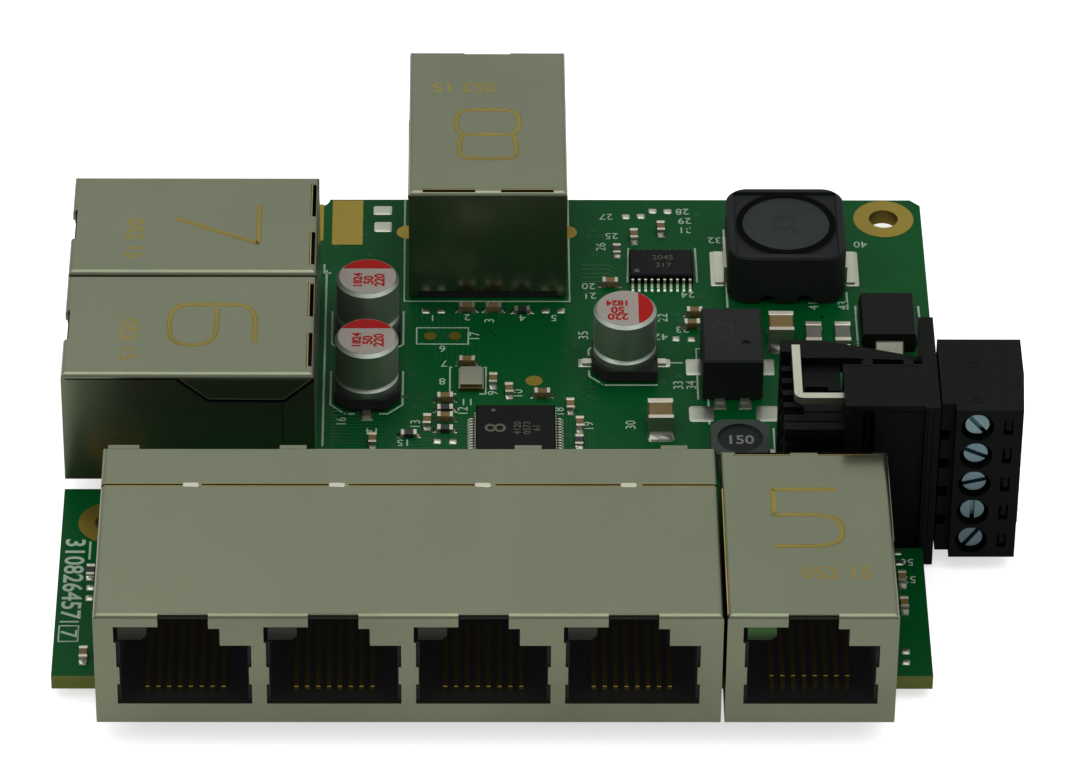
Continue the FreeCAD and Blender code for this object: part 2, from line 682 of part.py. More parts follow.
CANS = (
    ("rear", "left_cans_x", "rear_can_y", 0),
    ("middle", "left_cans_x", "front_can_y", 0),
    ("right", "right_can_x", "right_can_y", -90),
)
terminals = []
for spot, x, y, turn in CANS:
    where = {"x": x, "y": y, "turn": turn}
    make_can(f"capacitor_can_{spot}", **where)
    make_base(f"capacitor_base_{spot}", **where)
    terminals.append(make_leads(f"capacitor_leads_{spot}", **where))

# ---- inductors, choke and diode -----------------------------------------------------------------


def make_power_inductor():
    """Square ferrite shield with well rounded corners, a wound drum core in its bore, two end clips."""
    where = {"x": "coil_x", "y": "coil_y"}
    half = "coil_width / 2"
    case = new_body("power_inductor_case", **where)
    square = new_sketch(case, "XY_Plane", "coil_lift")
    rectangle(square, f"-{half}", half, f"-{half}", half)
    pad(case, square, "coil_height - coil_lift")
    soften(case, "Fillet", "coil_round", lambda edge: runs_along(edge, 2))
    top = value("coil_height")
    soften(case, "Chamfer", "choke_edge", lambda edge: edge.CenterOfMass.z > top - 1e-3)
    recess = new_sketch(case, "XY_Plane", "coil_height + 1")
    flat_hole(recess, "0", "0", f"({half} - coil_rim)", 4)
    pocket(case, recess, "1 + coil_recess")
    bore = new_sketch(case, "XY_Plane", "coil_height + 1")
    circle(bore, "0", "0", "coil_bore")
    pocket(case, bore)
    arches = new_sketch(case, "XZ_Plane", f"-{half} - 1")
    for side in ("-", ""):
        flat_hole(arches, f"{side}1 * arch_side", "coil_lift", "arch_radius", 6)
    pocket(case, arches, "coil_width + 2", up=True)
    keep("power_inductor_case", case)

    core = new_body("power_inductor_core", **where)
    drum = new_sketch(core, "XY_Plane", "coil_lift")
    circle(drum, "0", "0", "core_radius")
    pad(core, drum, "coil_height - core_sink - coil_lift")
    keep("power_inductor_core", core)
    return [make_clip(f"power_inductor_clip_{side}", turn, "coil_width", "coil_tab_width", "coil_lift", **where)
            for side, turn in (("right", 0), ("left", 180))]


def make_clip(name, turn, width, tab_width, lift, x, y):
    """An L of thin sheet: a foot on the board, under and out from the part, and a short upright."""
    body = new_body(name, x=x, y=y, turn=turn)
    side = f"{width} / 2"
    profile = new_sketch(body, "XZ_Plane", f"-{tab_width} / 2")
    outline(profile, [
        (f"{side} - 1.5", "0"),
        (f"{side} + coil_tab_reach", "0"),
        (f"{side} + coil_tab_reach", f"{lift} - 0.02"),
        (f"{side} + 0.3", f"{lift} - 0.02"),
        (f"{side} + 0.3", "coil_tab_rise"),
        (f"{side} + 0.02", "coil_tab_rise"),
        (f"{side} + 0.02", f"{lift} - 0.02"),
        (f"{side} - 1.5", f"{lift} - 0.02"),
    ])
    pad(body, profile, tab_width)
    return body


def make_block(name, x, y, width, length, lift, height, edge):
    """A moulded block with its top edges broken."""
    body = new_body(name, x=x, y=y)
    base = new_sketch(body, "XY_Plane", lift)
    rectangle(base, f"-{width} / 2", f"{width} / 2", f"-{length} / 2", f"{length} / 2")
    pad(body, base, f"{height} - {lift}")
    top = value(height)
    soften(body, "Chamfer", edge, lambda line: line.CenterOfMass.z > top - 1e-3)
    return body


def make_choke():
    """Common mode choke: a tall moulded block on four flat leads, a dot for its first lead."""
    body = make_block("line_choke", "choke_x", "choke_y", "choke_width", "choke_length",
                      "choke_lift", "choke_height", "choke_edge")
    dot = new_sketch(body, "XY_Plane", "choke_height")
    flat_hole(dot, "choke_width * 0.22", "-choke_length * 0.16", "dot_radius")
    pocket(body, dot, "dot_depth")
    keep("line_choke", body)
    leads = []
    for side, turn in (("front", 0), ("back", 180)):
        lead_body = new_body(f"choke_leads_{side}", x="choke_x", y="choke_y", turn=turn)
        for sign in ("-", ""):
            foot = new_sketch(lead_body, "XY_Plane")
            middle = f"{sign}1 * choke_lead_half"
            rectangle(foot, f"{middle} - choke_lead_width / 2", f"{middle} + choke_lead_width / 2",
                      "-choke_length / 2 - 0.5", "-choke_length / 2 + 1")
            pad(lead_body, foot, "choke_lift")
        leads.append(lead_body)
    return leads


def make_small_inductor():
    """Low shielded inductor: square with cut corners and a round recess in its top, two flat end plates."""
    body = new_body("small_inductor", x="reel_x", y="reel_y")
    base = new_sketch(body, "XY_Plane", "reel_lift")
    half = "reel_width / 2"
    rectangle(base, f"-{half}", half, f"-{half}", half)
    pad(body, base, "reel_height - reel_lift")
    soften(body, "Chamfer", "reel_round", lambda edge: runs_along(edge, 2))
    recess = new_sketch(body, "XY_Plane", "reel_height")
    circle(recess, "0", "0", "reel_recess")
    pocket(body, recess, "reel_recess_depth")
    keep("small_inductor", body)
    plates = new_body("small_inductor_plates", x="reel_x", y="reel_y")
    for sign in ("-", ""):
        plate = new_sketch(plates, "XY_Plane")
        ends = sorted((f"{sign}1 * (reel_width / 2 + 0.15)", f"{sign}1 * (reel_width / 2 - 1.3)"), key=value)
        rectangle(plate, ends[0], ends[1], "-reel_width / 4", "reel_width / 4")
        pad(plates, plate, "reel_lift")
    return [plates]


def make_diode():
    """Power diode: a block with its waist at the lead plane and drafted faces above and below."""
    body = new_body("rectifier_diode", x="diode_x", y="diode_y")
    end = new_sketch(body, "XZ_Plane", "-diode_length / 2")
    half = "diode_width / 2"
    outline(end, [
        (f"-{half} + diode_draft", "diode_lift"),
        (f"{half} - diode_draft", "diode_lift"),
        (half, "diode_waist"),
        (f"{half} - diode_draft", "diode_height"),
        (f"-{half} + diode_draft", "diode_height"),
        (f"-{half}", "diode_waist"),
    ])
    pad(body, end, "diode_length")
    keep("rectifier_diode", body)
    tabs = []
    for side, turn in (("front", 0), ("back", 180)):
        tab = new_body(f"diode_tab_{side}", x="diode_x", y="diode_y", turn=turn)
        profile = new_sketch(tab, "YZ_Plane", "-diode_tab_width / 2")
        face = "-diode_length / 2"
        outline(profile, [
            (face, "diode_waist + diode_tab_thick"),
            (f"{face} - diode_tab_thick", "diode_waist + diode_tab_thick"),
            (f"{face} - diode_tab_reach", "diode_tab_thick"),
            (f"{face} - diode_tab_reach", "0"),
            (f"{face} + 0.6", "0"),
            (f"{face} + 0.6", "diode_lift - 0.01"),
            (face, "diode_lift - 0.01"),
        ])
        pad(tab, profile, "diode_tab_width")
        tabs.append(tab)
    return tabs


terminals += make_power_inductor()
terminals += make_choke()
terminals += make_small_inductor()
terminals += make_diode()
group("component_terminals", terminals)

# ---- chips --------------------------------------------------------------------------------------


def make_gull_row(name, x, y, turn, width, span, pitch, count, lead, top):
    """One side's row of gull-wing leads, out of the package's front face and down to the board."""
    body = new_body(name, x=x, y=y, turn=turn)
    wing = new_sketch(body, "YZ_Plane", f"-({count} - 1) / 2 * {pitch} - {lead} / 2")
    face = f"-{width} / 2"
    tip = f"-{span} / 2"
    neck = f"{top} * 0.5"
    outline(wing, [
        (face, f"{neck} + lead_sheet"),
        (f"{tip} + lead_foot", "lead_sheet"),
        (tip, "0"),
        (f"{tip} + lead_foot + lead_sheet", "0"),
        (face, neck),
    ])
    first = pad(body, wing, lead)
    repeat(body, first, "N_Axis", count, pitch)
    return body


def make_chips():
    regulator = make_block("regulator_chip", "regulator_x", "regulator_y", "regulator_width",
                           "regulator_depth", "chip_lift", "regulator_top", "chip_edge")
    keep("regulator_chip", regulator)
    switch = make_block("switch_chip", "switch_x", "switch_y", "switch_width",
                        "switch_width", "chip_lift", "switch_top", "chip_edge")
    keep("switch_chip", switch)
    rows = []
    for turn in (0, 180):
        rows.append(make_gull_row(f"regulator_leads_{turn}", "regulator_x", "regulator_y", turn,
                                  "regulator_depth", "regulator_span", "regulator_pitch",
                                  "regulator_leads", "regulator_lead", "regulator_top"))
    for turn in (0, 90, 180, 270):
        rows.append(make_gull_row(f"switch_leads_{turn}", "switch_x", "switch_y", turn,
                                  "switch_width", "switch_span", "switch_pitch",
                                  "switch_leads", "switch_lead", "switch_top"))
    group("chip_leads", rows)


def make_crystal():
    """Clock crystal: a ceramic tray under a welded metal lid, sealed as one piece."""
    body = new_body("clock_crystal", x="crystal_x", y="crystal_y")
    tray = new_sketch(body, "XY_Plane")
    rectangle(tray, "-crystal_width / 2", "crystal_width / 2", "-crystal_length / 2", "crystal_length / 2")
    pad(body, tray, "crystal_base")
    lid = new_sketch(body, "XY_Plane", "crystal_base")
    rectangle(lid, "-crystal_width / 2 + crystal_rim", "crystal_width / 2 - crystal_rim",
              "-crystal_length / 2 + crystal_rim", "crystal_length / 2 - crystal_rim")
    pad(body, lid, "crystal_height - crystal_base")
    keep("clock_crystal", body)


make_chips()
make_crystal()

# small chip parts, each at its own spot: x, y and whether its length runs front to back
SMALL_CAPACITORS = (
    (39.5, 56.7, False), (42.2, 56.7, False), (54.1, 60.9, False), (62.6, 56.0, False),
    (39.5, 47.9, False), (37.3, 42.0, False), (37.3, 38.9, False), (47.0, 42.7, False),
    (62.3, 54.0, False), (56.7, 68.8, True), (59.5, 70.1, True), (49.8, 40.7, True),
    (50.7, 37.8, True), (42.1, 44.8, True), (43.7, 43.2, True), (35.5, 38.2, True),
    (2.95, 2.7, True), (81.5, 14.0, True), (81.5, 10.1, True), (30.1, 35.2, True),
)
SMALL_RESISTORS = (
    (45.1, 56.5, False), (37.3, 40.45, False), (37.3, 37.2, False), (33.7, 36.4, False),
    (54.9, 66.6, True), (50.6, 35.3, True), (3.1, 15.2, True),
)
BULK_CAPACITORS = ((71.2, 51.9, True), (58.7, 37.7, True))
BEADS = ((74.55, 52.5, True), (77.5, 52.5, True))


def chip_solid(length, width, rise, end, spot):
    """A chip part: a bar, and on the larger ones plated ends that stand slightly proud of it."""
    x, y, lengthwise = spot
    half = value(length) / 2
    top = value(rise)
    profile = [(-half, 0), (half, 0), (half, top), (-half, top), (-half, 0)]
    if end:
        inner = half - value(end)
        dip = top - value("end_proud")
        profile[3:3] = [(inner, top), (inner, dip), (-inner, dip), (-inner, top)]
    side = -value(width) / 2
    wire = Part.makePolygon([FreeCAD.Vector(along, side, up) for along, up in profile])
    solid = Part.Face(wire).extrude(FreeCAD.Vector(0, value(width), 0))
    solid.Placement = FreeCAD.Placement(FreeCAD.Vector(x, y, 0),
                                        FreeCAD.Rotation(FreeCAD.Vector(0, 0, 1), 90 if lengthwise else 0))
    return solid


def scatter(name, solids):
    """Loose copies at spots that follow no pattern, as one node."""
    feature = doc.addObject("Part::Feature", name)
    feature.Shape = Part.makeCompound(solids)
    seat(feature)
    return keep(name, feature)


doc.recompute()
scatter("ceramic_capacitors",
        [chip_solid("chip_length", "chip_width", "capacitor_rise", "", spot) for spot in SMALL_CAPACITORS]
        + [chip_solid("bulk_length", "bulk_width", "bulk_rise", "bulk_end", spot) for spot in BULK_CAPACITORS])
scatter("chip_resistors",
        [chip_solid("chip_length", "chip_width", "resistor_rise", "", spot) for spot in SMALL_RESISTORS]
        + [chip_solid("bead_length", "bead_width", "bead_rise", "bulk_end", spot) for spot in BEADS])

# ---- power connector ----------------------------------------------------------------------------

TOP_WAY = "(way_first + (ways - 1) * way_pitch)"
COMB_TOP = f"({TOP_WAY} - comb_under)"
CAVITY_LOW = "(way_first - cavity_under)"
CAVITY_HIGH = f"({TOP_WAY} + cavity_over)"
SCREW_X = f"({PLUG_LEFT} + screw_inset)"
NOSE_TIP = f"({PLUG_LEFT} - nose_length)"


def per_way(body, sketch, length, repeats="ways", **how):
    """A cut made once at the lowest way and repeated up the stack."""
    first = pocket(body, sketch, length, **how)
    repeat(body, first, "V_Axis", repeats, "way_pitch")


def make_header():
    """Shrouded header on its side in the board's notch, with a comb that leads its posts down."""
    body = new_body("header_body")
    low = "(way_first - header_under)"
    high = f"({TOP_WAY} + header_over)"
    shroud = new_sketch(body, "XY_Plane", low)
    outline(shroud, [
        (HEADER_LEFT, "header_front"),
        (HEADER_RIGHT, "header_front"),
        (HEADER_RIGHT, "flange_front"),
        (f"{HEADER_RIGHT} + flange_thick", "flange_front"),
        (f"{HEADER_RIGHT} + flange_thick", "flange_back"),
        (HEADER_RIGHT, "flange_back"),
        (HEADER_RIGHT, "header_front + header_depth"),
        (HEADER_LEFT, "header_front + header_depth"),
    ])
    pad(body, shroud, f"{high} - {low}")
    comb = new_sketch(body, "XY_Plane", "comb_lift")
    rectangle(comb, COMB_LEFT, HEADER_LEFT, "comb_front", "comb_back")
    pad(body, comb, f"{COMB_TOP} - comb_lift")
    rim = new_sketch(body, "XY_Plane", f"{COMB_TOP} - rim_tall")
    outline(rim, [
        (COMB_LEFT, "comb_back - rim_depth"),
        (f"{HEADER_LEFT} + rim_reach", "comb_back - rim_depth"),
        (HEADER_RIGHT, "comb_back - brace_drop - brace_tip"),
        (HEADER_RIGHT, "comb_back - brace_drop"),
        (f"{HEADER_LEFT} - 2 * rim_reach", "comb_back"),
        (COMB_LEFT, "comb_back"),
    ])
    pad(body, rim, "2 * rim_tall")
    ridge = new_sketch(body, "XY_Plane", COMB_TOP)
    rectangle(ridge, f"{COMB_LEFT} + post_inset + post_size", f"{COMB_LEFT} + post_inset + ridge_width",
              "comb_front + ridge_y", "comb_front + ridge_y + ridge_depth")
    pad(body, ridge, "ridge_tall")
    sink = new_sketch(body, "XY_Plane", f"{COMB_TOP} + 1")
    rectangle(sink, f"{HEADER_LEFT} - sink_width", HEADER_LEFT,
              "comb_front + sink_y", "comb_front + sink_y + sink_depth")
    pocket(body, sink, "2.2")
    for first_x in ("0", "key_slot_x + key_slot_width"):
        lip_leg = new_sketch(body, "XY_Plane", f"{high} - lip_leg")
        rectangle(lip_leg, f"{HEADER_LEFT} + {first_x}", f"{HEADER_LEFT} + {first_x} + lip_leg_width",
                  "header_front - lip_out", "header_front")
        pad(body, lip_leg, "lip_leg")
    lip = new_sketch(body, "XY_Plane", f"{high} - lip_tall")
    rectangle(lip, HEADER_LEFT, HEADER_RIGHT, "header_front - lip_out", "header_front")
    pad(body, lip, "lip_tall")
    back = "header_front + header_depth"
    for first_x in ("rib_first", "rib_first + rib_next"):
        rib = new_sketch(body, "XY_Plane", low)
        rectangle(rib, f"{HEADER_LEFT} + {first_x}", f"{HEADER_LEFT} + {first_x} + rib_width", back, f"{back} + rib_out")
        pad(body, rib, f"{high} - {low}")
    cavity = new_sketch(body, "YZ_Plane", f"{HEADER_LEFT} + header_wall")
    rectangle(cavity, "header_front + header_wall", "header_front + header_depth - header_wall",
              CAVITY_LOW, CAVITY_HIGH)
    pocket(body, cavity, "header_width + flange_thick", up=True)
    key = new_sketch(body, "XZ_Plane", "header_front - 1")
    rectangle(key, f"{HEADER_LEFT} + key_slot_x", f"{HEADER_LEFT} + key_slot_x + key_slot_width",
              CAVITY_LOW, CAVITY_HIGH)
    pocket(body, key, "header_wall + 1.1", up=True)
    slot = new_sketch(body, "XZ_Plane", "comb_front - 1")
    rectangle(slot, f"{COMB_LEFT} - 1", f"{HEADER_LEFT} + 0.01",
              "way_first - comb_slot / 2", "way_first + comb_slot / 2")
    per_way(body, slot, "comb_back - comb_front - comb_wall + 1", up=True)
    legs = new_sketch(body, "XY_Plane", "comb_lift - 1")
    rectangle(legs, f"{COMB_LEFT} - 1", f"{POST_TURN} + comb_slot / 2",
              "post_y - comb_slot / 2", "post_y + comb_slot / 2")
    first = pocket(body, legs, f"{COMB_TOP} + rim_tall - comb_lift + 2", up=True)
    repeat(body, first, "V_Axis", "ways", "post_step")
    post = new_sketch(body, "YZ_Plane", f"{HEADER_LEFT} - 1")
    half = "(post_size / 2 + post_play)"
    rectangle(post, f"post_y - {half}", f"post_y + {half}", f"way_first - {half}", f"way_first + {half}")
    per_way(body, post, "header_wall + 2", up=True)
    return keep("header_body", body)


def make_posts():
    """Square posts: through the header's wall, turned back along the comb, then down to the board."""
    posts = []
    half = "post_size / 2"
    tip = f"{HEADER_RIGHT} - post_end"
    for i in range(int(value("ways"))):
        level = f"(way_first + {i} * way_pitch)"
        far = f"(post_y + {i} * post_step)"
        body = new_body(f"post_{i + 1}")
        run = new_sketch(body, "XY_Plane", f"{level} - {half}")
        corners = [
            (tip, f"post_y - {half}"),
            (tip, f"post_y + {half}"),
            (f"{POST_TURN} + {half}", f"post_y + {half}"),
            (f"{POST_TURN} + {half}", f"{far} + {half}"),
            (f"{POST_TURN} - {half}", f"{far} + {half}"),
            (f"{POST_TURN} - {half}", f"post_y - {half}"),
        ]
        if i == 0:
            del corners[2:4]
        outline(run, corners)
        pad(body, run, "post_size")
        bend_x = value(f"{POST_TURN} - {half}")
        bend_y = value(f"post_y - {half}")
        if i > 0:
            soften(body, "Fillet", "post_round",
                   lambda edge: runs_along(edge, 2) and abs(edge.CenterOfMass.x - bend_x) < 1e-3
                   and abs(edge.CenterOfMass.y - bend_y) < 1e-3)
        leg = new_sketch(body, "XY_Plane", "-(board_thickness + pin_reach)")
        rectangle(leg, f"{POST_TURN} - {half}", f"{POST_TURN} + {half}", f"{far} - {half}", f"{far} + {half}")
        pad(body, leg, f"board_thickness + pin_reach + {level}")
        posts.append(body)
    group("header_posts", posts)


CHAMBER_FRONT = "(plug_front + screw_sunk + screw_head + screw_play + seat_wall)"
CLAMP_REST = f"({CHAMBER_FRONT} + clamp_play + clamp_travel)"
BAR_BACK = "(post_y + nose_hole / 2 - socket_play)"


def make_plug():
    """Plug: a block of five clamp chambers with screw wells in front, wire entries at its right and
    a nose that enters the header."""
    body = new_body("plug_body")
    block = new_sketch(body, "XY_Plane", "way_first - plug_margin")
    outline(block, [
        (PLUG_LEFT, "plug_front + ledge_depth"),
        (f"{PLUG_LEFT} + ledge_width", "plug_front + ledge_depth"),
        (f"{PLUG_LEFT} + ledge_width", "plug_front"),
        (f"{PLUG_RIGHT} - plug_taper", "plug_front"),
        (PLUG_RIGHT, "plug_front + plug_depth / 2"),
        (PLUG_RIGHT, "plug_front + plug_depth"),
        (PLUG_LEFT, "plug_front + plug_depth"),
    ])
    pad(body, block, "(ways - 1) * way_pitch + 2 * plug_margin")
    foot = new_sketch(body, "XZ_Plane", "plug_front - 1")
    rectangle(foot, f"{PLUG_RIGHT} - plug_foot_inset", f"{PLUG_RIGHT} + 1",
              "way_first - plug_margin - 1", "way_first - plug_margin + plug_foot_step")
    pocket(body, foot, "plug_depth + 2", up=True)
    nose = new_sketch(body, "YZ_Plane", NOSE_TIP)
    side = "(header_wall + nose_play)"
    rectangle(nose, f"header_front + {side}", f"header_front + header_depth - {side}",
              f"{CAVITY_LOW} + nose_play", f"{CAVITY_HIGH} - nose_play")
    pad(body, nose, "nose_length")
    groove = new_sketch(body, "XZ_Plane", "plug_front")
    rectangle(groove, f"{PLUG_LEFT} - 1", f"{PLUG_LEFT} + key_groove_wide",
              "way_first + way_pitch / 2 - key_groove / 2", "way_first + way_pitch / 2 + key_groove / 2")
    per_way(body, groove, "key_groove_deep + ledge_depth", "ways - 1", up=True)
    chamber = new_sketch(body, "XZ_Plane", CHAMBER_FRONT)
    half = "(clamp_width / 2 + clamp_play)"
    long_half = "(clamp_length / 2 + clamp_play)"
    rectangle(chamber, f"{SCREW_X} - {long_half}", f"{SCREW_X} + {long_half}",
              f"way_first - {half}", f"way_first + {half}")
    per_way(body, chamber, "clamp_height + clamp_travel + 2 * clamp_play", up=True)
    well = new_sketch(body, "XZ_Plane", "plug_front")
    flat_hole(well, SCREW_X, "way_first", "well_radius", 12)
    per_way(body, well, "screw_sunk + screw_head + screw_play", up=True)
    shank = new_sketch(body, "XZ_Plane", "plug_front")
    flat_hole(shank, SCREW_X, "way_first", "(screw_shank + screw_play)", 6)
    per_way(body, shank, f"{CHAMBER_FRONT} - plug_front + 0.1", up=True)
    entry = new_sketch(body, "YZ_Plane", f"{PLUG_RIGHT} + 1")
    rectangle(entry, f"{BAR_BACK} + 0.1", f"{BAR_BACK} + 0.1 + entry_wide",
              "way_first - entry_tall / 2", "way_first + entry_tall / 2")
    per_way(body, entry, "plug_width - screw_inset + 1")
    probe = new_sketch(body, "XZ_Plane", "plug_front")
    rectangle(probe, f"{PLUG_LEFT} + probe_inset - probe_width / 2", f"{PLUG_LEFT} + probe_inset + probe_width / 2",
              "way_first - probe_tall / 2", "way_first + probe_tall / 2")
    per_way(body, probe, "probe_deep", up=True)
    hole = new_sketch(body, "YZ_Plane", f"{NOSE_TIP} - 1")
    half = "nose_hole / 2"
    rectangle(hole, f"post_y - {half}", f"post_y + {half}", f"way_first - {half}", f"way_first + {half}")
    per_way(body, hole, "nose_length + screw_inset", up=True)
    return keep("plug_body", body)


# how each screw's slot happens to stand, in degrees from level, lowest screw first
SLOT_TURNS = (-55, 90, -15, 25, 50)


def make_screw(i, turn):
    """Slotted clamp screw, its axis front to back, turned about that axis."""
    level = f"way_first + {i} * way_pitch"
    body = new_body(f"terminal_screw_{i + 1}", x=SCREW_X, y="plug_front + screw_sunk", z=level,
                    turn=turn, axis=FreeCAD.Vector(0, 1, 0))
    head = new_sketch(body, "XZ_Plane")
    circle(head, "0", "0", "screw_head_radius")
    pad(body, head, "screw_head")
    shank = new_sketch(body, "XZ_Plane", "screw_head")
    flat_hole(shank, "0", "0", "screw_shank * 0.924")
    pad(body, shank, "screw_length")
    slot = new_sketch(body, "XZ_Plane")
    rectangle(slot, "-2 * screw_head_radius", "2 * screw_head_radius", "-slot_width / 2", "slot_width / 2")
    pocket(body, slot, "slot_depth", up=True)
    return keep(f"terminal_screw_{i + 1}", body)


def make_clamp(i):
    """Lift clamp: a square ring round the contact bar and the wire, tapped in front for the screw."""
    level = f"way_first + {i} * way_pitch"
    body = new_body(f"wire_clamp_{i + 1}", x=SCREW_X, y=CLAMP_REST, z=level)
    ring = new_sketch(body, "YZ_Plane", "-clamp_length / 2")
    half = "clamp_width / 2"
    rectangle(ring, "0", "clamp_height", f"-{half}", half)
    rectangle(ring, "clamp_front", "clamp_height - clamp_wall",
              f"-{half} + clamp_wall / 2", f"{half} - clamp_wall / 2")
    pad(body, ring, "clamp_length")
    tapped = new_sketch(body, "XZ_Plane", "-1")
    flat_hole(tapped, "0", "0", "(screw_shank + screw_play)", 6)
    pocket(body, tapped, "1 + clamp_front + 0.1", up=True)
    return keep(f"wire_clamp_{i + 1}", body)


def make_sockets():
    """Square spring sockets in the plug's nose, one round each post, each with a bar to its clamp."""
    body = new_body("plug_sockets")
    tube = new_sketch(body, "YZ_Plane", f"{NOSE_TIP} + 0.6")
    outer = "(nose_hole / 2 - socket_play)"
    inner = "(nose_hole / 2 - socket_play - socket_wall)"
    for half in (outer, inner):
        rectangle(tube, f"post_y - {half}", f"post_y + {half}", f"way_first - {half}", f"way_first + {half}")
    first = pad(body, tube, "socket_length")
    repeat(body, first, "V_Axis", "ways", "way_pitch")
    bar = new_sketch(body, "YZ_Plane", f"{NOSE_TIP} + 0.6")
    rectangle(bar, f"{BAR_BACK} - socket_wall", BAR_BACK, "way_first - bar_width / 2", "way_first + bar_width / 2")
    first = pad(body, bar, "nose_length - 0.6 + screw_inset + bar_end")
    repeat(body, first, "V_Axis", "ways", "way_pitch")
    return keep("plug_sockets", body)


make_header()
make_posts()
make_plug()
make_sockets()
for number, slot_turn in enumerate(SLOT_TURNS):
    make_screw(number, slot_turn)
    make_clamp(number)

# ---- check and write ----------------------------------------------------------------------------

doc.recompute()
for thing in doc.Objects:
    if "Invalid" in thing.State or "Error" in thing.State:
        raise RuntimeError(f"{thing.Name} ({thing.Label}) is {thing.State}")
for name, thing in nodes.items():
    if thing.Shape.isNull() or not thing.Shape.isValid() or not thing.Shape.Solids:
        raise RuntimeError(f"{name} has no valid solid")

os.makedirs("parts", exist_ok=True)
for name, thing in nodes.items():
    thing.Shape.exportStep(f"parts/{name}.step")
print(len(nodes), "pieces written")
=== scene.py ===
import bmesh
import bpy
import json
import math
import random
from mathutils import Matrix, Vector


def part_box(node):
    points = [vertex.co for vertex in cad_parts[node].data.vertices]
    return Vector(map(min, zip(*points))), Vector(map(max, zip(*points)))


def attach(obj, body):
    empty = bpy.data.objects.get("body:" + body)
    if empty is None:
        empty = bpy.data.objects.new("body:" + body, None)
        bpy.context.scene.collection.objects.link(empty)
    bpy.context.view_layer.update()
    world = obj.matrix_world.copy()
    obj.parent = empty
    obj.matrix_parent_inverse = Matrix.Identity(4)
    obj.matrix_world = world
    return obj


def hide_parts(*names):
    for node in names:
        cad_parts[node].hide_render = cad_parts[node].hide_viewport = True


# A bare network switch board with shielded sockets along its edges, its power parts, chips and a
# pluggable screw terminal block, on a pale floor under soft light. Lengths are millimetres from the
# board's front left corner and its top face; spot() turns them into metres of the frame.

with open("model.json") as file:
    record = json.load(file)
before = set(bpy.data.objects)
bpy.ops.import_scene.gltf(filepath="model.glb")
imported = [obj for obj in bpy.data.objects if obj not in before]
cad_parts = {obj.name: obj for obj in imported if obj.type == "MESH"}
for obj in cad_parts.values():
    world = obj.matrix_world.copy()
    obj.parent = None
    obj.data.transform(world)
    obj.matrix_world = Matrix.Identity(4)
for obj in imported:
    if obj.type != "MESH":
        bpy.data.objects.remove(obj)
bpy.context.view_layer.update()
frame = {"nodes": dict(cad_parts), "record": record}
MM = 0.001
board_low, board_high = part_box("circuit_board")
ORIGIN = Vector((board_low[0], board_low[1], board_high[2]))
WIDE, DEEP, THICK = ((high - low) / MM for low, high in zip(board_low, board_high))


def spot(x, y, z=0.0):
    """A point of the board as a place in the frame."""
    return ORIGIN + Vector((x, y, z)) * MM


# ---- node trees ----


class Wiring:
    """Adds nodes to a tree; a setting that is a socket, or a node's first socket, is linked to it."""

    def __init__(self, tree):
        self.tree = tree

    def add(self, kind, setup=None, **settings):
        node = self.tree.nodes.new(kind if "Node" in kind else f"ShaderNode{kind}")
        for name, value in (setup or {}).items():
            setattr(node, name, value)
        self.set(node, **settings)
        return node

    def set(self, node, **settings):
        """Sockets go by name, with _ for a space, or as i and their number."""
        for name, value in settings.items():
            socket = node.inputs[int(name[1:]) if name[1:].isdigit() else name.replace("_", " ")]
            if isinstance(value, bpy.types.Node):
                value = value.outputs[0]
            if isinstance(value, bpy.types.NodeSocket):
                self.tree.links.new(value, socket)
            else:
                socket.default_value = value

    def math(self, operation, *numbers):
        return self.add("Math", {"operation": operation},
                        **{f"i{i}": number for i, number in enumerate(numbers)})

    def mix(self, factor, first, second):
        return self.add("Mix", {"data_type": "RGBA"}, i0=factor, i6=first, i7=second).outputs[2]

    def noise(self, scale, detail=2.0, roughness=0.5, stretch=None):
        place = self.add("TexCoord").outputs["Object"]
        if stretch:
            place = self.add("Mapping", Vector=place, Scale=stretch)
        return self.add("TexNoise", Vector=place, Scale=scale, Detail=detail, Roughness=roughness)

    def ramp(self, factor, low, high):
        """Zero below low, one above high, straight between."""
        return self.add("MapRange", Value=factor, From_Min=low, From_Max=high)

    def upward(self, kind, output):
        """The Z part of what a node gives."""
        return self.add("SeparateXYZ", Vector=self.add(kind).outputs[output]).outputs[2]


def new_tree(family, name, inputs, outputs):
    """A node group whose sockets are given as kind: names."""
    tree = bpy.data.node_groups.new(name, f"{family}NodeTree")
    for way, sockets in (("INPUT", inputs), ("OUTPUT", outputs)):
        for kind, labels in sockets.items():
            for label in labels.split():
                tree.interface.new_socket(label, in_out=way, socket_type=f"NodeSocket{kind}")
    w = Wiring(tree)
    return w, w.add("NodeGroupInput").outputs


def moulded_grain():
    """Spark-eroded mould texture with slow changes of gloss."""
    w, own = new_tree("Shader", "moulded grain", {"Float": "Grain Depth Roughness Spread"},
                      {"Float": "Roughness", "Vector": "Normal"})
    fine = w.noise(own["Grain"], 3.0, 0.6)
    slow = w.noise(160.0, 3.0, 0.6)
    gloss = w.math("MULTIPLY_ADD", w.math("SUBTRACT", slow, 0.5), own["Spread"], own["Roughness"])
    bump = w.add("Bump", Height=fine, Strength=own["Depth"], Distance=0.00004)
    w.add("NodeGroupOutput", Roughness=gloss, Normal=bump)
    return w.tree


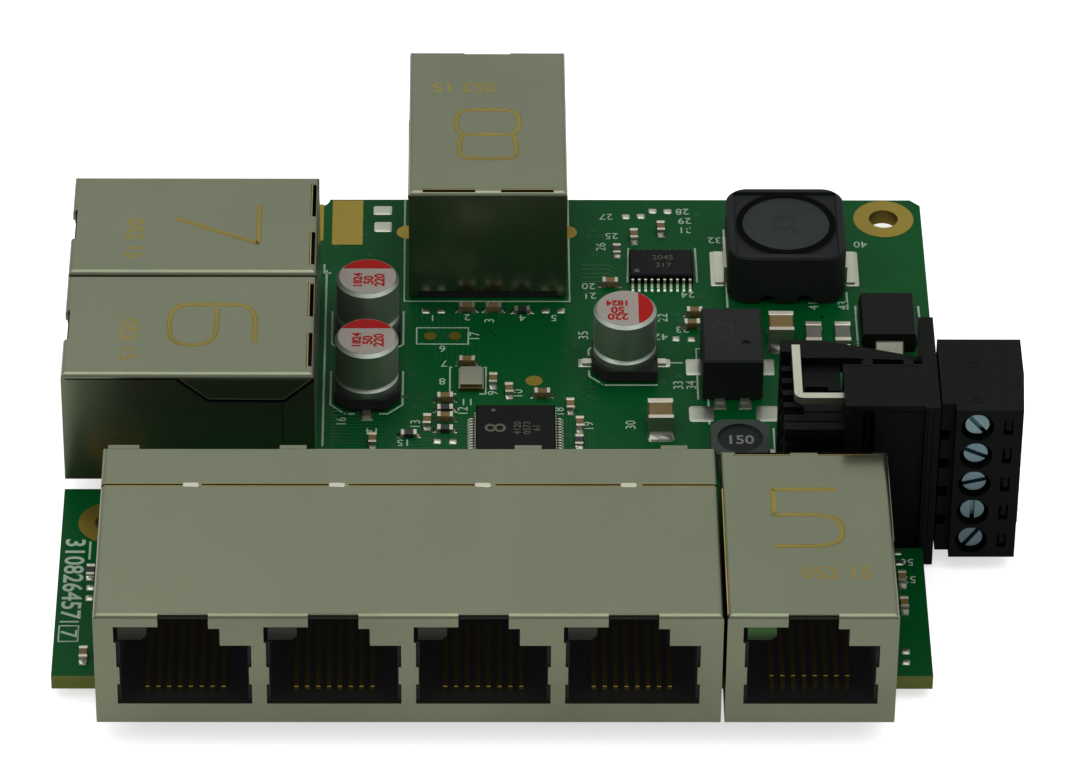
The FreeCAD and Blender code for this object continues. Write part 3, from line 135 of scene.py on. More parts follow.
def shade_drift():
    """Two shades of one colour, clouded together, with specks of a third."""
    w, own = new_tree("Shader", "shade drift", {"Color": "Color Drift Speck", "Float": "Scale Amount Specks"},
                      {"Color": "Color"})
    cloud = w.ramp(w.noise(own["Scale"], 4.0, 0.6), 0.35, 0.65)
    base = w.mix(w.math("MULTIPLY", cloud, own["Amount"]), own["Color"], own["Drift"])
    speck = w.ramp(w.noise(6000.0, 1.0), 0.66, 0.74)
    w.add("NodeGroupOutput", Color=w.mix(w.math("MULTIPLY", speck, own["Specks"]), base, own["Speck"]))
    return w.tree


def rolled_sheet():
    """Rolling lines and wiped smears on plated sheet."""
    w, own = new_tree("Shader", "rolled sheet", {"Float": "Lines Roughness Spread", "Vector": "Along"},
                      {"Float": "Roughness Smear", "Vector": "Normal"})
    place = w.add("TexCoord").outputs["Object"]
    drawn = w.add("VectorMath", {"operation": "MULTIPLY"}, i0=place, i1=own["Along"])
    lines = w.add("TexNoise", Vector=drawn, Scale=900.0, Detail=4.0, Roughness=0.7)
    smear = w.ramp(w.noise(70.0, 4.0, 0.62, (1.0, 0.6, 1.0)), 0.38, 0.66)
    gloss = w.math("MULTIPLY_ADD", smear, own["Spread"], own["Roughness"])
    bump = w.add("Bump", Height=lines, Strength=own["Lines"], Distance=0.00003)
    w.add("NodeGroupOutput", Roughness=gloss, Smear=smear, Normal=bump)
    return w.tree


GRAIN, DRIFT, SHEET = moulded_grain(), shade_drift(), rolled_sheet()
ALONG_Y, ALONG_Z, NO_WAY = (1.0, 0.08, 1.0), (1.0, 1.0, 0.05), (1.0, 1.0, 1.0)  # ways that lines are drawn


def rgb(color):
    """A screen colour (two hexadecimal figures each for red, green and blue) as the shader's own."""
    linear = [c / 255 / 12.92 if c <= 10.3 else ((c / 255 + 0.055) / 1.055) ** 2.4 for c in bytes.fromhex(color)]
    return (*linear, 1.0)


class Finish(Wiring):
    """A material: plain settings go straight on the shader's sockets, the rest is wired to it."""

    def __init__(self, name, glow=None, **plain):
        self.material = bpy.data.materials.new(name)
        self.material.use_nodes = True
        super().__init__(self.material.node_tree)
        self.tree.nodes.clear()
        if glow:
            plain.update(Emission_Color=(*glow, 1.0), Emission_Strength=1.0)
        self.shader = self.add("BsdfPrincipled", **plain)
        self.output = self.add("OutputMaterial", Surface=self.shader)

    def place(self, group, **settings):
        return self.add("Group", {"node_tree": group}, **settings).outputs

    def colour(self, color, drift, speck=None, scale=120.0, amount=0.6, specks=0.0):
        out = self.place(DRIFT, Color=rgb(color), Drift=rgb(drift), Speck=rgb(speck or drift), Scale=scale,
                         Amount=amount, Specks=specks)["Color"]
        self.set(self.shader, Base_Color=out)
        return out

    def moulded(self, roughness, depth=0.15, grain=2500.0, spread=0.12):
        out = self.place(GRAIN, Grain=grain, Depth=depth, Roughness=roughness, Spread=spread)
        self.set(self.shader, Roughness=out["Roughness"], Normal=out["Normal"])

    def rolled(self, roughness, lines=0.06, spread=0.15, along=ALONG_Y):
        out = self.place(SHEET, Lines=lines, Roughness=roughness, Spread=spread, Along=along)
        self.set(self.shader, Roughness=out["Roughness"], Normal=out["Normal"])
        return out["Smear"]


# ---- finishes ----


def moulding(name, color, drift, roughness, speck=None, specks=0.0, depth=0.15, sheen=0.2, glow=None):
    f = Finish(name, glow, IOR=1.47, Specular_IOR_Level=sheen)
    f.colour(color, drift, speck, specks=specks)
    f.moulded(roughness, depth)
    return f.material


def metal(name, color, drift, roughness, metallic=1.0, glow=None, **rolling):
    f = Finish(name, glow, Metallic=metallic)
    smear = f.rolled(roughness, **rolling)
    f.set(f.shader, Base_Color=f.mix(f.math("MULTIPLY", smear, 0.7), rgb(color), rgb(drift)))
    return f.material


def solder_mask():
    """Green lacquer over copper and glass cloth; the sawn edges show the yellowish laminate."""
    f = Finish("green solder mask", IOR=1.5, Specular_IOR_Level=0.06)
    base = f.colour("00451c", "003b16", "02542a", scale=90.0, amount=0.7, specks=0.1)
    weave = f.add("TexWave", {"wave_type": "BANDS", "bands_direction": "DIAGONAL"},
                  Vector=f.add("TexCoord").outputs["Object"], Scale=900.0, Distortion=1.0)
    lacquer = f.mix(f.math("MULTIPLY", weave, 0.05), base, rgb("0e5c32"))
    flat = f.ramp(f.math("ABSOLUTE", f.upward("NewGeometry", "Normal")), 0.4, 0.6)
    laminate = f.mix(f.noise(300.0, 3.0, 0.6, (0.2, 0.2, 14.0)), rgb("707034"), rgb("4a5c2c"))
    f.set(f.shader, Base_Color=f.mix(flat, laminate, lacquer))
    f.moulded(0.3, 0.04, grain=700.0)
    return f.material


def crystal_lid():
    """A grey welded lid whose sides show the brass coloured frame below it."""
    f = Finish("welded lid", Metallic=1.0)
    smear = f.rolled(0.35, 0.1)
    facing = f.upward("NewGeometry", "Normal")
    lid = f.mix(smear, rgb("969686"), rgb("767668"))
    frame_side = f.mix(smear, rgb("967c3e"), rgb("6e5a2c"))
    f.set(f.shader, Base_Color=f.mix(f.ramp(facing, 0.4, 0.6), frame_side, lid))
    return f.material


def light_pipe(name, color, low):
    """Clear moulding, painted lighter towards its top edge and darker below: painted light and shade, as if lit
    from above.
    """
    f = Finish(name, IOR=1.49, Specular_IOR_Level=0.15)
    # painted light: the upper part takes the lighter colour, the lower part the darker, painted shade colour
    lit = f.ramp(f.upward("TexCoord", "Object"), ORIGIN.z + 0.0109, ORIGIN.z + 0.0118)
    shade = f.math("MULTIPLY_ADD", f.noise(700.0, 3.0), 0.3, f.math("MULTIPLY", lit, 0.85))
    f.set(f.shader, Base_Color=f.mix(shade, rgb(low), rgb(color)))
    f.moulded(0.3, 0.05, spread=0.1)
    return f.material


# the glow of the sockets' insides stands for the light that finds its way in between the wires
DIM, WARM = (0.003, 0.003, 0.003), (0.0042, 0.0035, 0.0016)
FINISHES = {
    "board": solder_mask(),
    "shield": metal("plated shield sheet", "7a7f6a", "6e7461", 0.2, 0.93, spread=0.08, lines=0.04),
    "black_moulding": moulding("black socket moulding", "141514", "0e0f0e", 0.5, sheen=0.14, glow=DIM),
    "grey_moulding": moulding("dark insert moulding", "141411", "0e0e0d", 0.55, sheen=0.12, glow=DIM),
    "gold_plate": metal("gold flash plating", "a89246", "8c7836", 0.25),
    "tin_plate": metal("tinned lead", "bcbeac", "969888", 0.3),
    # each light pipe's two colours: lit at the top, painted shade below
    "grey_light": light_pipe("milky light pipe", "282a23", "0c0d0c"),
    "green_light": light_pipe("green light pipe", "325624", "0a1c0e"),
    "can": metal("drawn aluminium", "b2bcb0", "9ea89c", 0.45, along=ALONG_Z),
    "contact": metal("shaded contact wire", "544a28", "3c341c", 0.35, glow=WARM),
    "ferrite": moulding("ferrite", "1b1f1d", "141816", 0.6, "303430", 0.25, depth=0.3, sheen=0.1),
    "package": moulding("chip package", "0b0e0c", "070908", 0.5, "1c1e1b", 0.2, sheen=0.08),
    "lid_metal": crystal_lid(),
    "ceramic": moulding("ceramic", "685834", "4c3e22", 0.4, sheen=0.15),
    "bead": moulding("grey bead", "5c5c54", "4c4e48", 0.45),
    "resistor": moulding("resistor body", "222628", "181b1e", 0.35, sheen=0.3),
    "terminal_moulding": moulding("terminal moulding", "0a0c0c", "060808", 0.45, sheen=0.06),
    "screw": metal("zinc plated screw", "72888e", "50646c", 0.24, along=NO_WAY),
    "clamp": metal("plated clamp", "969890", "7e8078", 0.3),
    "white_print": moulding("white legend ink", "94a694", "809482", 0.6, depth=0.3),
    "gold_land": metal("gold land", "8c7b34", "78672a", 0.32, lines=0.1),
    "solder": metal("soldered tin", "b0b4a6", "8a8e82", 0.22, lines=0.25, spread=0.2),
    "masked_track": moulding("masked copper", "00461f", "003c19", 0.3),
    "plated_end": metal("plated chip end", "c0bcac", "a49e8e", 0.38),
    "pale_mark": moulding("pale ink", "6e726e", "5a5e5a", 0.6),
    "dark_mark": moulding("dark ink", "101211", "0c0d0d", 0.5),
    "faint_mark": moulding("laser mark", "4e4e42", "404038", 0.6),
    "white_lacquer": moulding("white lacquer", "8a837b", "7a746c", 0.4),
    "red_lacquer": moulding("red lacquer", "920806", "7a0404", 0.45, sheen=0.08),
    "raw_edge": metal("raw sheet edge", "aa9658", "82703e", 0.35),
    "bridge": metal("bright bridge", "c4c6b2", "aaac98", 0.25),
    # painted shade: near-black lines and rings standing for the shade in gaps and grooves
    "shade_line": moulding("deep groove", "030404", "020202", 0.7, sheen=0.03),
    "tab_solder": metal("crowned solder", "acae9e", "707468", 0.3, 0.4, lines=0.3),
    "coil_disc": moulding("ground ferrite disc", "262c28", "1f2421", 0.5, sheen=0.1),
    "grey_ferrite": moulding("grey ferrite", "323a36", "2a322e", 0.6, sheen=0.1),
    # painted highlight: a pale line along the cut lower edge of the side flaps
    "flap_edge_highlight": moulding("cut edge of the sheet", "464c3c", "383e30", 0.4),
    "etched_line": moulding("etched line", "80743a", "70642e", 0.5, sheen=0.1),
}
# nodes whose finish differs from the rest of their slot
OWN_FINISH = {"power_inductor_core": "coil_disc", "small_inductor": "grey_ferrite"}
for entry in frame["record"]["subparts"]:
    node = frame["nodes"][entry["node"]]
    node.data.materials.clear()
    usual = "contact" if entry["node"].endswith("_contacts") else entry["material_slot"]
    node.data.materials.append(FINISHES[OWN_FINISH.get(entry["node"], usual)])

# ---- mesh code ----


class Shape:
    """Closed forms added one by one to a mesh."""

    def __init__(self):
        self.bm = bmesh.new()

    def faces(self, rows, pairs):
        """Four-sided faces round each pair of rows."""
        for low, high in pairs:
            for i in range(len(rows[low])):
                j = (i + 1) % len(rows[low])
                self.bm.faces.new([rows[low][i], rows[low][j], rows[high][j], rows[high][i]])
        return self

    def rows(self, rings):
        return [[self.bm.verts.new(spot(*point)) for point in ring] for ring in rings]

    def skin(self, rings):
        """Closed skin over a stack of rings of equal length; the first and the last are capped."""
        rows = self.rows(rings)
        self.bm.faces.new(rows[0][::-1])
        self.bm.faces.new(rows[-1])
        return self.faces(rows, [(i, i + 1) for i in range(len(rows) - 1)])

    def plate(self, outline, low, high, break_edge=0.0):
        """A flat piece with the given outline; break_edge draws its top edge in a little."""
        rings = [[(x, y, low) for x, y in outline], [(x, y, high - break_edge) for x, y in outline]]
        if break_edge:
            mid_x, mid_y = (sum(values) / len(outline) for values in zip(*outline))
            rings.append([(x - math.copysign(break_edge, x - mid_x),
                           y - math.copysign(break_edge, y - mid_y), high) for x, y in outline])
        return self.skin(rings)

    def block(self, low, high, break_edge=0.0):
        (x0, y0, z0), (x1, y1, z1) = low, high
        return self.plate([(x0, y0), (x1, y0), (x1, y1), (x0, y1)], z0, z1, break_edge)

    def ring(self, x, y, outer, inner, low, high, sides=40):
        """A flat round ring between two radii."""
        rings = [[(px, py, z) for px, py in round_outline(x, y, radius, sides)]
                 for radius, z in ((outer, low), (outer, high), (inner, high), (inner, low))]
        return self.faces(self.rows(rings), [(0, 1), (1, 2), (2, 3), (3, 0)])

    def disc(self, x, y, radius, low, high, sides=40, squash=1.0):
        return self.plate(round_outline(x, y, radius, sides, squash), low, high)

    def mesh(self, smooth=0.0):
        bmesh.ops.recalc_face_normals(self.bm, faces=self.bm.faces)
        return mesh_of(self.bm, smooth)


def mesh_of(bm, smooth=0.0):
    """The mesh of finished mesh code, shaded smooth up to an angle if there is one."""
    mesh = bpy.data.meshes.new("shape")
    bm.to_mesh(mesh)
    bm.free()
    if smooth:
        mesh.shade_smooth()
        mesh.set_sharp_from_angle(angle=math.radians(smooth))
    return mesh


def round_outline(x, y, radius, sides=32, squash=1.0):
    angles = [2 * math.pi / sides * i for i in range(sides)]
    return [(x + radius * math.cos(angle), y + radius * squash * math.sin(angle)) for angle in angles]


def rounded_square(x, y, wide, deep, radius, steps=4):
    points = []
    for corner, (sx, sy) in enumerate(((1, 1), (-1, 1), (-1, -1), (1, -1))):
        for i in range(steps + 1):
            angle = math.pi / 2 * (corner + i / steps)
            points.append((x + sx * (wide / 2 - radius) + radius * math.cos(angle),
                           y + sy * (deep / 2 - radius) + radius * math.sin(angle)))
    return points


def hang(name, data):
    """A new object in the scene."""
    holder = bpy.data.objects.new(name, data)
    bpy.context.collection.objects.link(holder)
    return holder


def put(name, shape, finishes, body="module", stands_for=()):
    """Hang a shape, a mesh or several meshes in the scene as one piece that rides on a body."""
    if isinstance(shape, Shape):
        shape = shape.mesh()
    mesh = joined(shape) if isinstance(shape, list) else shape
    mesh.name = name
    for finish in finishes.split():
        mesh.materials.append(FINISHES[finish])
    piece = hang(name, mesh)
    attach(piece, body)
    if stands_for:
        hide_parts(*stands_for)


def joined(meshes, smooth=0.0, own_finish=False):
    """Several meshes as one; with own_finish the faces of each mesh take the finish of its number."""
    bm = bmesh.new()
    for number, mesh in enumerate(meshes):
        first = len(bm.faces)
        bm.from_mesh(mesh)
        bm.faces.ensure_lookup_table()
        for face in bm.faces[first:]:
            face.material_index = number if own_finish else 0
    return mesh_of(bm, smooth)


def islands(node):
    """Lowest and highest corner of each loose solid of a CAD node."""
    bm = bmesh.new()
    bm.from_mesh(frame["nodes"][node].data)
    bmesh.ops.remove_doubles(bm, verts=bm.verts, dist=1e-7)
    left = set(bm.verts)
    boxes = []
    while left:
        group, edge = set(), [left.pop()]
        while edge:
            vert = edge.pop()
            group.add(vert)
            for other in (link.other_vert(vert) for link in vert.link_edges):
                if other in left:
                    left.discard(other)
                    edge.append(other)
        places = [(vert.co - ORIGIN) / MM for vert in group]
        boxes.append([Vector([pick(axis) for axis in zip(*places)]) for pick in (min, max)])
    bm.free()
    return sorted(boxes, key=lambda box: [round(value, 2) for corner in box for value in corner])


def corners(node):
    """Lowest and highest corner of a CAD node."""
    low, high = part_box(node)
    return (Vector(low) - ORIGIN) / MM, (Vector(high) - ORIGIN) / MM


def middle_of(node):
    """Middle and size of a CAD node."""
    low, high = corners(node)
    return (low + high) / 2, high - low


# ---- geometry trees ----


def close_tree(w, geometry):
    w.add("NodeGroupOutput", Geometry=w.add("GeometryNodeRealizeInstances", Geometry=geometry))
    return w.tree


def laid_line_tree():
    """Every chain of edges becomes a flat line of one width and height."""
    w, own = new_tree("Geometry", "laid line", {"Geometry": "Geometry", "Float": "Width Height"},
                      {"Geometry": "Geometry"})
    path = w.add("GeometryNodeMeshToCurve", Mesh=own["Geometry"])
    level = w.add("GeometryNodeSetCurveNormal", {"mode": "Z_UP"}, Curve=path)
    section = w.add("GeometryNodeCurvePrimitiveQuadrilateral", Width=own["Width"], Height=own["Height"])
    return close_tree(w, w.add("GeometryNodeCurveToMesh", Curve=level, Profile_Curve=section, Fill_Caps=True))


def set_out_tree():
    """A part at every point, turned and stretched as the point says, each a hair off its place."""
    w, own = new_tree("Geometry", "set out", {"Geometry": "Geometry", "Object": "Part", "Float": "Wander",
                                              "Int": "Seed"}, {"Geometry": "Geometry"})
    part = w.add("GeometryNodeObjectInfo", Object=own["Part"]).outputs["Geometry"]
    turn = w.add("GeometryNodeInputNamedAttribute", Name="turn")
    stretch = w.add("GeometryNodeInputNamedAttribute", {"data_type": "FLOAT_VECTOR"}, Name="stretch")
    slip = w.add("FunctionNodeRandomValue", i2=-1.0, i3=1.0, Seed=own["Seed"]).outputs[1]
    rotation = w.add("CombineXYZ", Z=w.math("MULTIPLY_ADD", slip, own["Wander"], turn))
    return close_tree(w, w.add("GeometryNodeInstanceOnPoints", Points=own["Geometry"], Instance=part,
                               Rotation=rotation, Scale=stretch))


def solder_cone_tree():
    """A solder joint at every point: a wide flare, a waist and a blunt tip, hanging downwards."""
    w, own = new_tree("Geometry", "solder cone", {"Geometry": "Geometry", "Float": "Foot Waist Height Spread",
                                                  "Int": "Seed"}, {"Geometry": "Geometry"})
    joint = w.add("GeometryNodeJoinGeometry")
    for top, bottom, depth in ((own["Waist"], own["Foot"], w.math("MULTIPLY", own["Height"], 0.4)),
                               (w.math("MULTIPLY", own["Waist"], 0.55), own["Waist"], own["Height"])):
        w.set(joint, i0=w.add("GeometryNodeMeshCone", Vertices=10, Radius_Top=top, Radius_Bottom=bottom,
                              Depth=depth))
    size = w.add("FunctionNodeRandomValue", i2=w.math("SUBTRACT", 1.0, own["Spread"]), i3=1.0,
                 Seed=own["Seed"]).outputs[1]
    down = w.add("CombineXYZ", X=math.pi)
    scale = w.add("CombineXYZ", X=size, Y=size, Z=size)
    return close_tree(w, w.add("GeometryNodeInstanceOnPoints", Points=own["Geometry"], Instance=joint,
                               Rotation=down, Scale=scale))


LINES, SET_OUT, CONES = laid_line_tree(), set_out_tree(), solder_cone_tree()


def plain_mesh(holder):
    """What an object comes to, as a plain mesh; the object itself is thrown away."""
    bpy.context.view_layer.update()
    graph = bpy.context.evaluated_depsgraph_get()
    mesh = bpy.data.meshes.new_from_object(holder.evaluated_get(graph), depsgraph=graph)
    mesh.materials.clear()
    bpy.data.objects.remove(holder)
    return mesh


def grow(tree, points, edges=(), attributes=(), **settings):
    """Run a geometry tree on points and edges and keep the result as a plain mesh."""
    source = bpy.data.meshes.new("source")
    source.from_pydata([spot(*point) for point in points], edges, [])
    for name, kind, field, values in attributes:
        layer = source.attributes.new(name, kind, "POINT")
        for i, value in enumerate(values):
            setattr(layer.data[i], field, value)
    holder = hang("holder", source)
    modifier = holder.modifiers.new("grow", "NODES")
    modifier.node_group = tree
    for socket in tree.interface.items_tree:
        if socket.name in settings:
            modifier[socket.identifier] = settings[socket.name]
    return plain_mesh(holder)


def set_out(part, places, wander=0.0, seed=7):
    """Copies of a part, drawn about the board's corner, at places given as (place, turn, stretch)."""
    part.transform(Matrix.Translation(-ORIGIN))
    pattern = hang("pattern", part)
    points, turns, stretches = zip(*places)
    mesh = grow(SET_OUT, points, attributes=[
        ("turn", "FLOAT", "value", [math.radians(turn) for turn in turns]),
        ("stretch", "FLOAT_VECTOR", "vector", stretches)], Part=pattern, Wander=math.radians(wander), Seed=seed)
    bpy.data.objects.remove(pattern)
    return mesh


def laid_lines(chains, width, low, high):
    """Flat lines along chains of (x, y), from one height to another."""
    points, edges = [], []
    for chain in chains:
        closed = chain[0] == chain[-1]
        first, run = len(points), chain[:-1] if closed else chain
        points += [(x, y, (low + high) / 2) for x, y in run]
        edges += [(first + i, first + i + 1) for i in range(len(run) - 1)]
        if closed:
            edges.append((first + len(run) - 1, first))
    return grow(LINES, points, edges, Width=width * MM, Height=(high - low) * MM)


LETTER_FIT = 1.38  # size of the type for figures one millimetre high


def figures(text, x, y, z, size, turn=0.0, thick=0.01, bold=0.0):
    """Plain figures as a thin closed mesh, centred on a point and turned about it."""
    curve = bpy.data.curves.new("figures", "FONT")
    curve.body = text
    curve.size = size * MM * LETTER_FIT
    curve.align_x, curve.align_y = "CENTER", "CENTER"
    curve.extrude = thick * MM / 2
    curve.resolution_u = 3
    curve.offset = bold * MM
    mesh = plain_mesh(hang("figures", curve))
    bpy.data.curves.remove(curve)
    mesh.transform(Matrix.Translation(spot(x, y, z)) @ Matrix.Rotation(math.radians(turn), 4, "Z"))
    bm = bmesh.new()
    bm.from_mesh(mesh)
    bmesh.ops.remove_doubles(bm, verts=bm.verts, dist=1e-7)
    bmesh.ops.recalc_face_normals(bm, faces=bm.faces)
    return mesh_of(bm)


# ---- board: lands, print, tracks ----

LAND = 0.04  # thickness of a bare gold land
SCREW_HOLES = (4.7, 22.8), (WIDE - 3.9, DEEP - 3.3)
HOLE_RADIUS, BARREL_RADIUS, RING_RADIUS = 1.6, 1.5, 3.12
VIAS, VIA_RADIUS, VIA_BORE = 150, 0.32, 0.14


def cans():
    """Each capacitor's name, middle and size, and whether it lies a quarter turned."""
    for can in ("rear", "middle", "right"):
        yield can, *middle_of(f"capacitor_can_{can}"), can == "right"


def make_lands():
    """Bare gold lands: screw rings with their barrels, tab lands, strips and test spots."""
    shape = Shape()
    for x, y in SCREW_HOLES:
        for low in (0.0, -THICK - LAND):
            shape.ring(x, y, RING_RADIUS, HOLE_RADIUS, low, low + LAND)
        shape.ring(x, y, HOLE_RADIUS, BARREL_RADIUS, -THICK - LAND, LAND)
    shape.block((25.6, 67.7, 0), (28.75, 75.3, LAND))
    shape.block((23.6, 68.4, 0), (24.7, 74.6, LAND))
    for x in (35.79, 38.27):
        shape.disc(x, 52.45, 0.62, 0, LAND, 20)
    shape.disc(46.2, 45.15, 0.87, 0, LAND, 24, 0.94)
    for x in (33.35, 49.75):
        shape.disc(x, 69.85, 1.1, 0, 0.035, 24)
    put("gold_lands", shape, "gold_land")


# outlines of the legend that follow no part of their own
OUTLINES = [
    [(33.1, DEEP), (33.1, 58.2), (49.95, 58.2), (49.95, DEEP)],
    [(34.4, 51.13), (39.62, 51.13), (39.62, 53.82), (34.4, 53.82), (34.4, 51.13)],
    [(38.0, 47.35), (37.77, 47.35), (37.77, 43.04), (38.4, 43.04)],
    [(41.1, 47.35), (41.41, 47.35), (41.35, 43.04), (40.7, 43.04)],
    [(25.15, 63.4), (25.15, 34.7)], [(24.9, 64.4), (24.9, 62.9), (25.6, 62.9)],
    [(59.79, 48.1), (61.19, 48.1)],
    [(56.1, 67.2), (55.9, 61.4)], [(62.95, 67.2), (63.0, 61.4)],
    [(79.0, 57.5), (79.0, 50.9)], [(85.4, 57.5), (85.5, 50.6)],
    [(63.6, 38.2), (63.6, 42.9)], [(69.95, 37.6), (69.95, 34.2), (68.6, 34.2)],
    [(62.6, 42.2), (62.6, 50.4), (63.0, 50.4)],
    [(0.45, 5.0), (2.3, 5.0), (2.3, 7.3), (0.45, 7.3), (0.45, 5.0)],
    [(0.45, 7.9), (2.3, 7.9)], [(2.9, 19.9), (2.9, 17.2)],
    [(66.0, 57.2), (66.0, 70.4)], [(78.2, 56.9), (78.2, 59.8)],
]
# plain numbers by the angle they are read at, each as figures, x and y
PART_NUMBERS = {
    180: """1 36 55.5, 2 39.5 55.6, 4 45.1 55.5, 5 48.3 55.5, 6 37 50.4, 7 37.2 48, 8 37 45.1, 11 39.5 41.8,
        14 30.1 37.1, 15 33.2 35.3, 20 51.9 60.8, 21 52 59.2, 23 61.3 53.6, 24 62 59.4, 25 54.4 69.3,
        27 53.9 72.6, 28 61.8 73.5, 29 62 71.9, 31 62 70.3, 32 65 68.6, 40 80 67.9, 42 59.1 52.4,
        56 82.1 16.9, 57 82.2 14.3""",
    90: """3 41.8 55, 17 40.3 52.4, 9 42.1 43.2, 10 44.6 43.1, 12 39.1 40.3, 13 34.4 38.2, 16 27 38.6,
        18 48.7 40.2, 19 51.6 37.9, 22 59.4 55.5, 26 53.3 67.4, 30 55.8 38.1, 33 60.7 44.5, 34 62 44.5,
        35 51.3 52.6, 41 74.8 57.6, 43 77.8 57.6""",
}


def make_print():
    """White legend print: outlines round the parts, marks and plain numbers."""
    lines = list(OUTLINES)
    for can, at, size, turned in cans():
        for chain in ([(-3.65, 3.3), (-3.65, -2.1), (-2.25, -3.55), (-1.2, -3.55)],
                      [(3.55, 3.3), (3.55, -2.1), (2.1, -3.55), (1.2, -3.55)]):
            lines.append([(at.x + y, at.y - x) if turned else (at.x + x, at.y + y) for x, y in chain])
    pieces = [laid_lines(lines, 0.22, 0.0, 0.02)]
    rng = random.Random(11)
    for turn, numbers in PART_NUMBERS.items():
        for text, x, y in map(str.split, numbers.split(",")):
            pieces.append(figures(text, float(x), float(y), 0.01, 1.05, turn + rng.uniform(-1, 1), 0.02))
    for k, text in enumerate("310826457"):
        pieces.append(figures(text, 1.35, 19.7 - 1.34 * k, 0.01, 1.95, -90, 0.02, 0.04))
    pieces.append(figures("7", 1.35, 6.15, 0.01, 1.7, -90, 0.02, 0.03))
    put("legend_print", pieces, "white_print")


def bundle(count, *points):
    """Tracks side by side; a point is the first track's x and y and their steps to the next track."""
    return [[(x + step_x * k, y + step_y * k) for x, y, step_x, step_y in points] for k in range(count)]


def make_tracks():
    """Copper tracks and plated vias that show through the lacquer as slightly raised lines."""
    tracks = (
        bundle(9, (34.4, 58.0, 0.55, 0), (34.4, 54.6, 0.55, -0.3), (36.4, 52.6, 0.55, -0.3),
               (36.4, 48.6, 0.55, 0))
        + bundle(12, (26.0, 35.2, 0, 0.5), (31.5, 35.2, 0, 0.5), (33.2, 33.0, 0, 0.5), (39.6, 33.0, 0, 0.5))
        + bundle(8, (48.9, 33.5, 0.45, 0), (48.9, 41.5, 0.45, -0.5), (51.5, 44.1, 0.45, -0.5),
                 (51.5, 50.0, 0.45, 0.6))
        + bundle(5, (51.2, 61.5, 0, 0.7), (53.9, 61.5, 0, 0.7), (54.7, 60.7, 0, 0.7))
        + bundle(4, (76.5, 36.0, 1.1, 0), (76.5, 42.0, 1.1, 1), (80.0, 45.6, 0.7, 0)))
    under = (
        bundle(16, (12.0, 11.5, 2.1, 0), (12.0, 18.0, 2.1, 0.5), (18.0, 24.0, 2.1, 0.5), (18.0, 34.0, 2.1, 0.9))
        + bundle(12, (19.0, 33.5, 0, 2.2), (24.5, 33.5, 0, 2.2), (29.0, 30.5, 0.3, 2.2), (44.0, 30.5, 0, 2.2))
        + bundle(8, (38.5, 64.0, 1.3, 0), (38.5, 52.0, 1.3, 0), (46.0, 44.0, 1.3, 0), (62.0, 44.0, 0, -1)))
    pieces = [laid_lines(tracks, 0.18, -0.01, 0.012), laid_lines(under, 0.25, -THICK - 0.015, -THICK + 0.01)]
    rng = random.Random(5)
    vias = []
    while len(vias) < VIAS:
        x, y = rng.uniform(26, 80), rng.uniform(30, 73)
        near_jack = 32 < x < 51 and y > 57
        near_coil = 64 < x < 79 and y > 56
        if not near_jack and not near_coil:
            vias.append((x, y, rng.uniform(0, 90)))
    for face in (0.0, -THICK - 0.03):
        ring = Shape().ring(0, 0, VIA_RADIUS, VIA_BORE, 0.0, 0.03, 12).mesh()
        pieces.append(set_out(ring, [((x, y, face), turn, (1, 1, 1)) for x, y, turn in vias]))
    put("masked_tracks", pieces, "masked_track")


# ---- small parts ----


def chip_places(node):
    """Small parts of a node as (place, turn, stretch) with the largest ones apart."""
    small, large = [], []
    for low, high in islands(node):
        size = high - low
        lengthwise = size.y > size.x
        length, width = (size.y, size.x) if lengthwise else (size.x, size.y)
        place = ((low.x + high.x) / 2, (low.y + high.y) / 2, 0.0)
        (large if length > 2 else small).append((place, 90 if lengthwise else 0, (length, width, size.z)))
    return small, large


def chip_body(inset):
    """A unit chip body with broken edges: one long, one wide, one high, ends left for the plating."""
    section = [(-0.47, 0.06), (0.47, 0.06), (0.49, 0.14), (0.49, 0.84), (0.45, 0.96), (-0.45, 0.96),
               (-0.49, 0.84), (-0.49, 0.14)]
    return Shape().skin([[(x, y, z) for y, z in section] for x in (inset - 0.5, 0.5 - inset)]).mesh(30)


def cut(x, half, low, top_half, high):
    """A four-cornered cut across the length, with half its width at the bottom and at the top."""
    return [(x, -half, low), (x, half, low), (x, top_half, high), (x, -top_half, high)]


def both_ends(cuts, smooth):
    """The same stack of cuts at both ends of a unit chip."""
    shape = Shape()
    for sign in (-1, 1):
        shape.skin([cut(sign * x, *rest) for x, *rest in cuts])
    return shape.mesh(smooth)


def chip_ends(inset):
    """The two plated ends of a unit chip, a little fuller than its body, edges rounded."""
    return both_ends([(depth, 0.5 - draw, draw, 0.5 - draw, 1 - draw) for depth, draw in (
        (0.5, 0.07), (0.485, 0.0), (0.5 - inset, 0.0), (0.47 - inset, 0.03))], 40)


def solder_ramp(length):
    """Land and solder meniscus at both ends of a unit chip."""
    return both_ends([(x, side, 0.0, side * 0.82, height) for x, height in (
        (0.30, 0.03), (0.5, 0.62), (0.5 + length * 0.45, 0.2), (0.5 + length, 0.04))
        for side in [0.5 if x < 0.6 else 0.42]], 50)


BARE_LANDS = [(36.1, 56.6), (48.25, 56.66), (61.4, 52.0), (37.3, 35.5), (56.7, 72.6), (59.5, 73.5), (3.2, 12.2),
              (81.3, 17.6), (81.25, 2.8)]
PLATED, BULK_PLATED = 0.2, 0.17  # share of a chip's length that is plated at each end


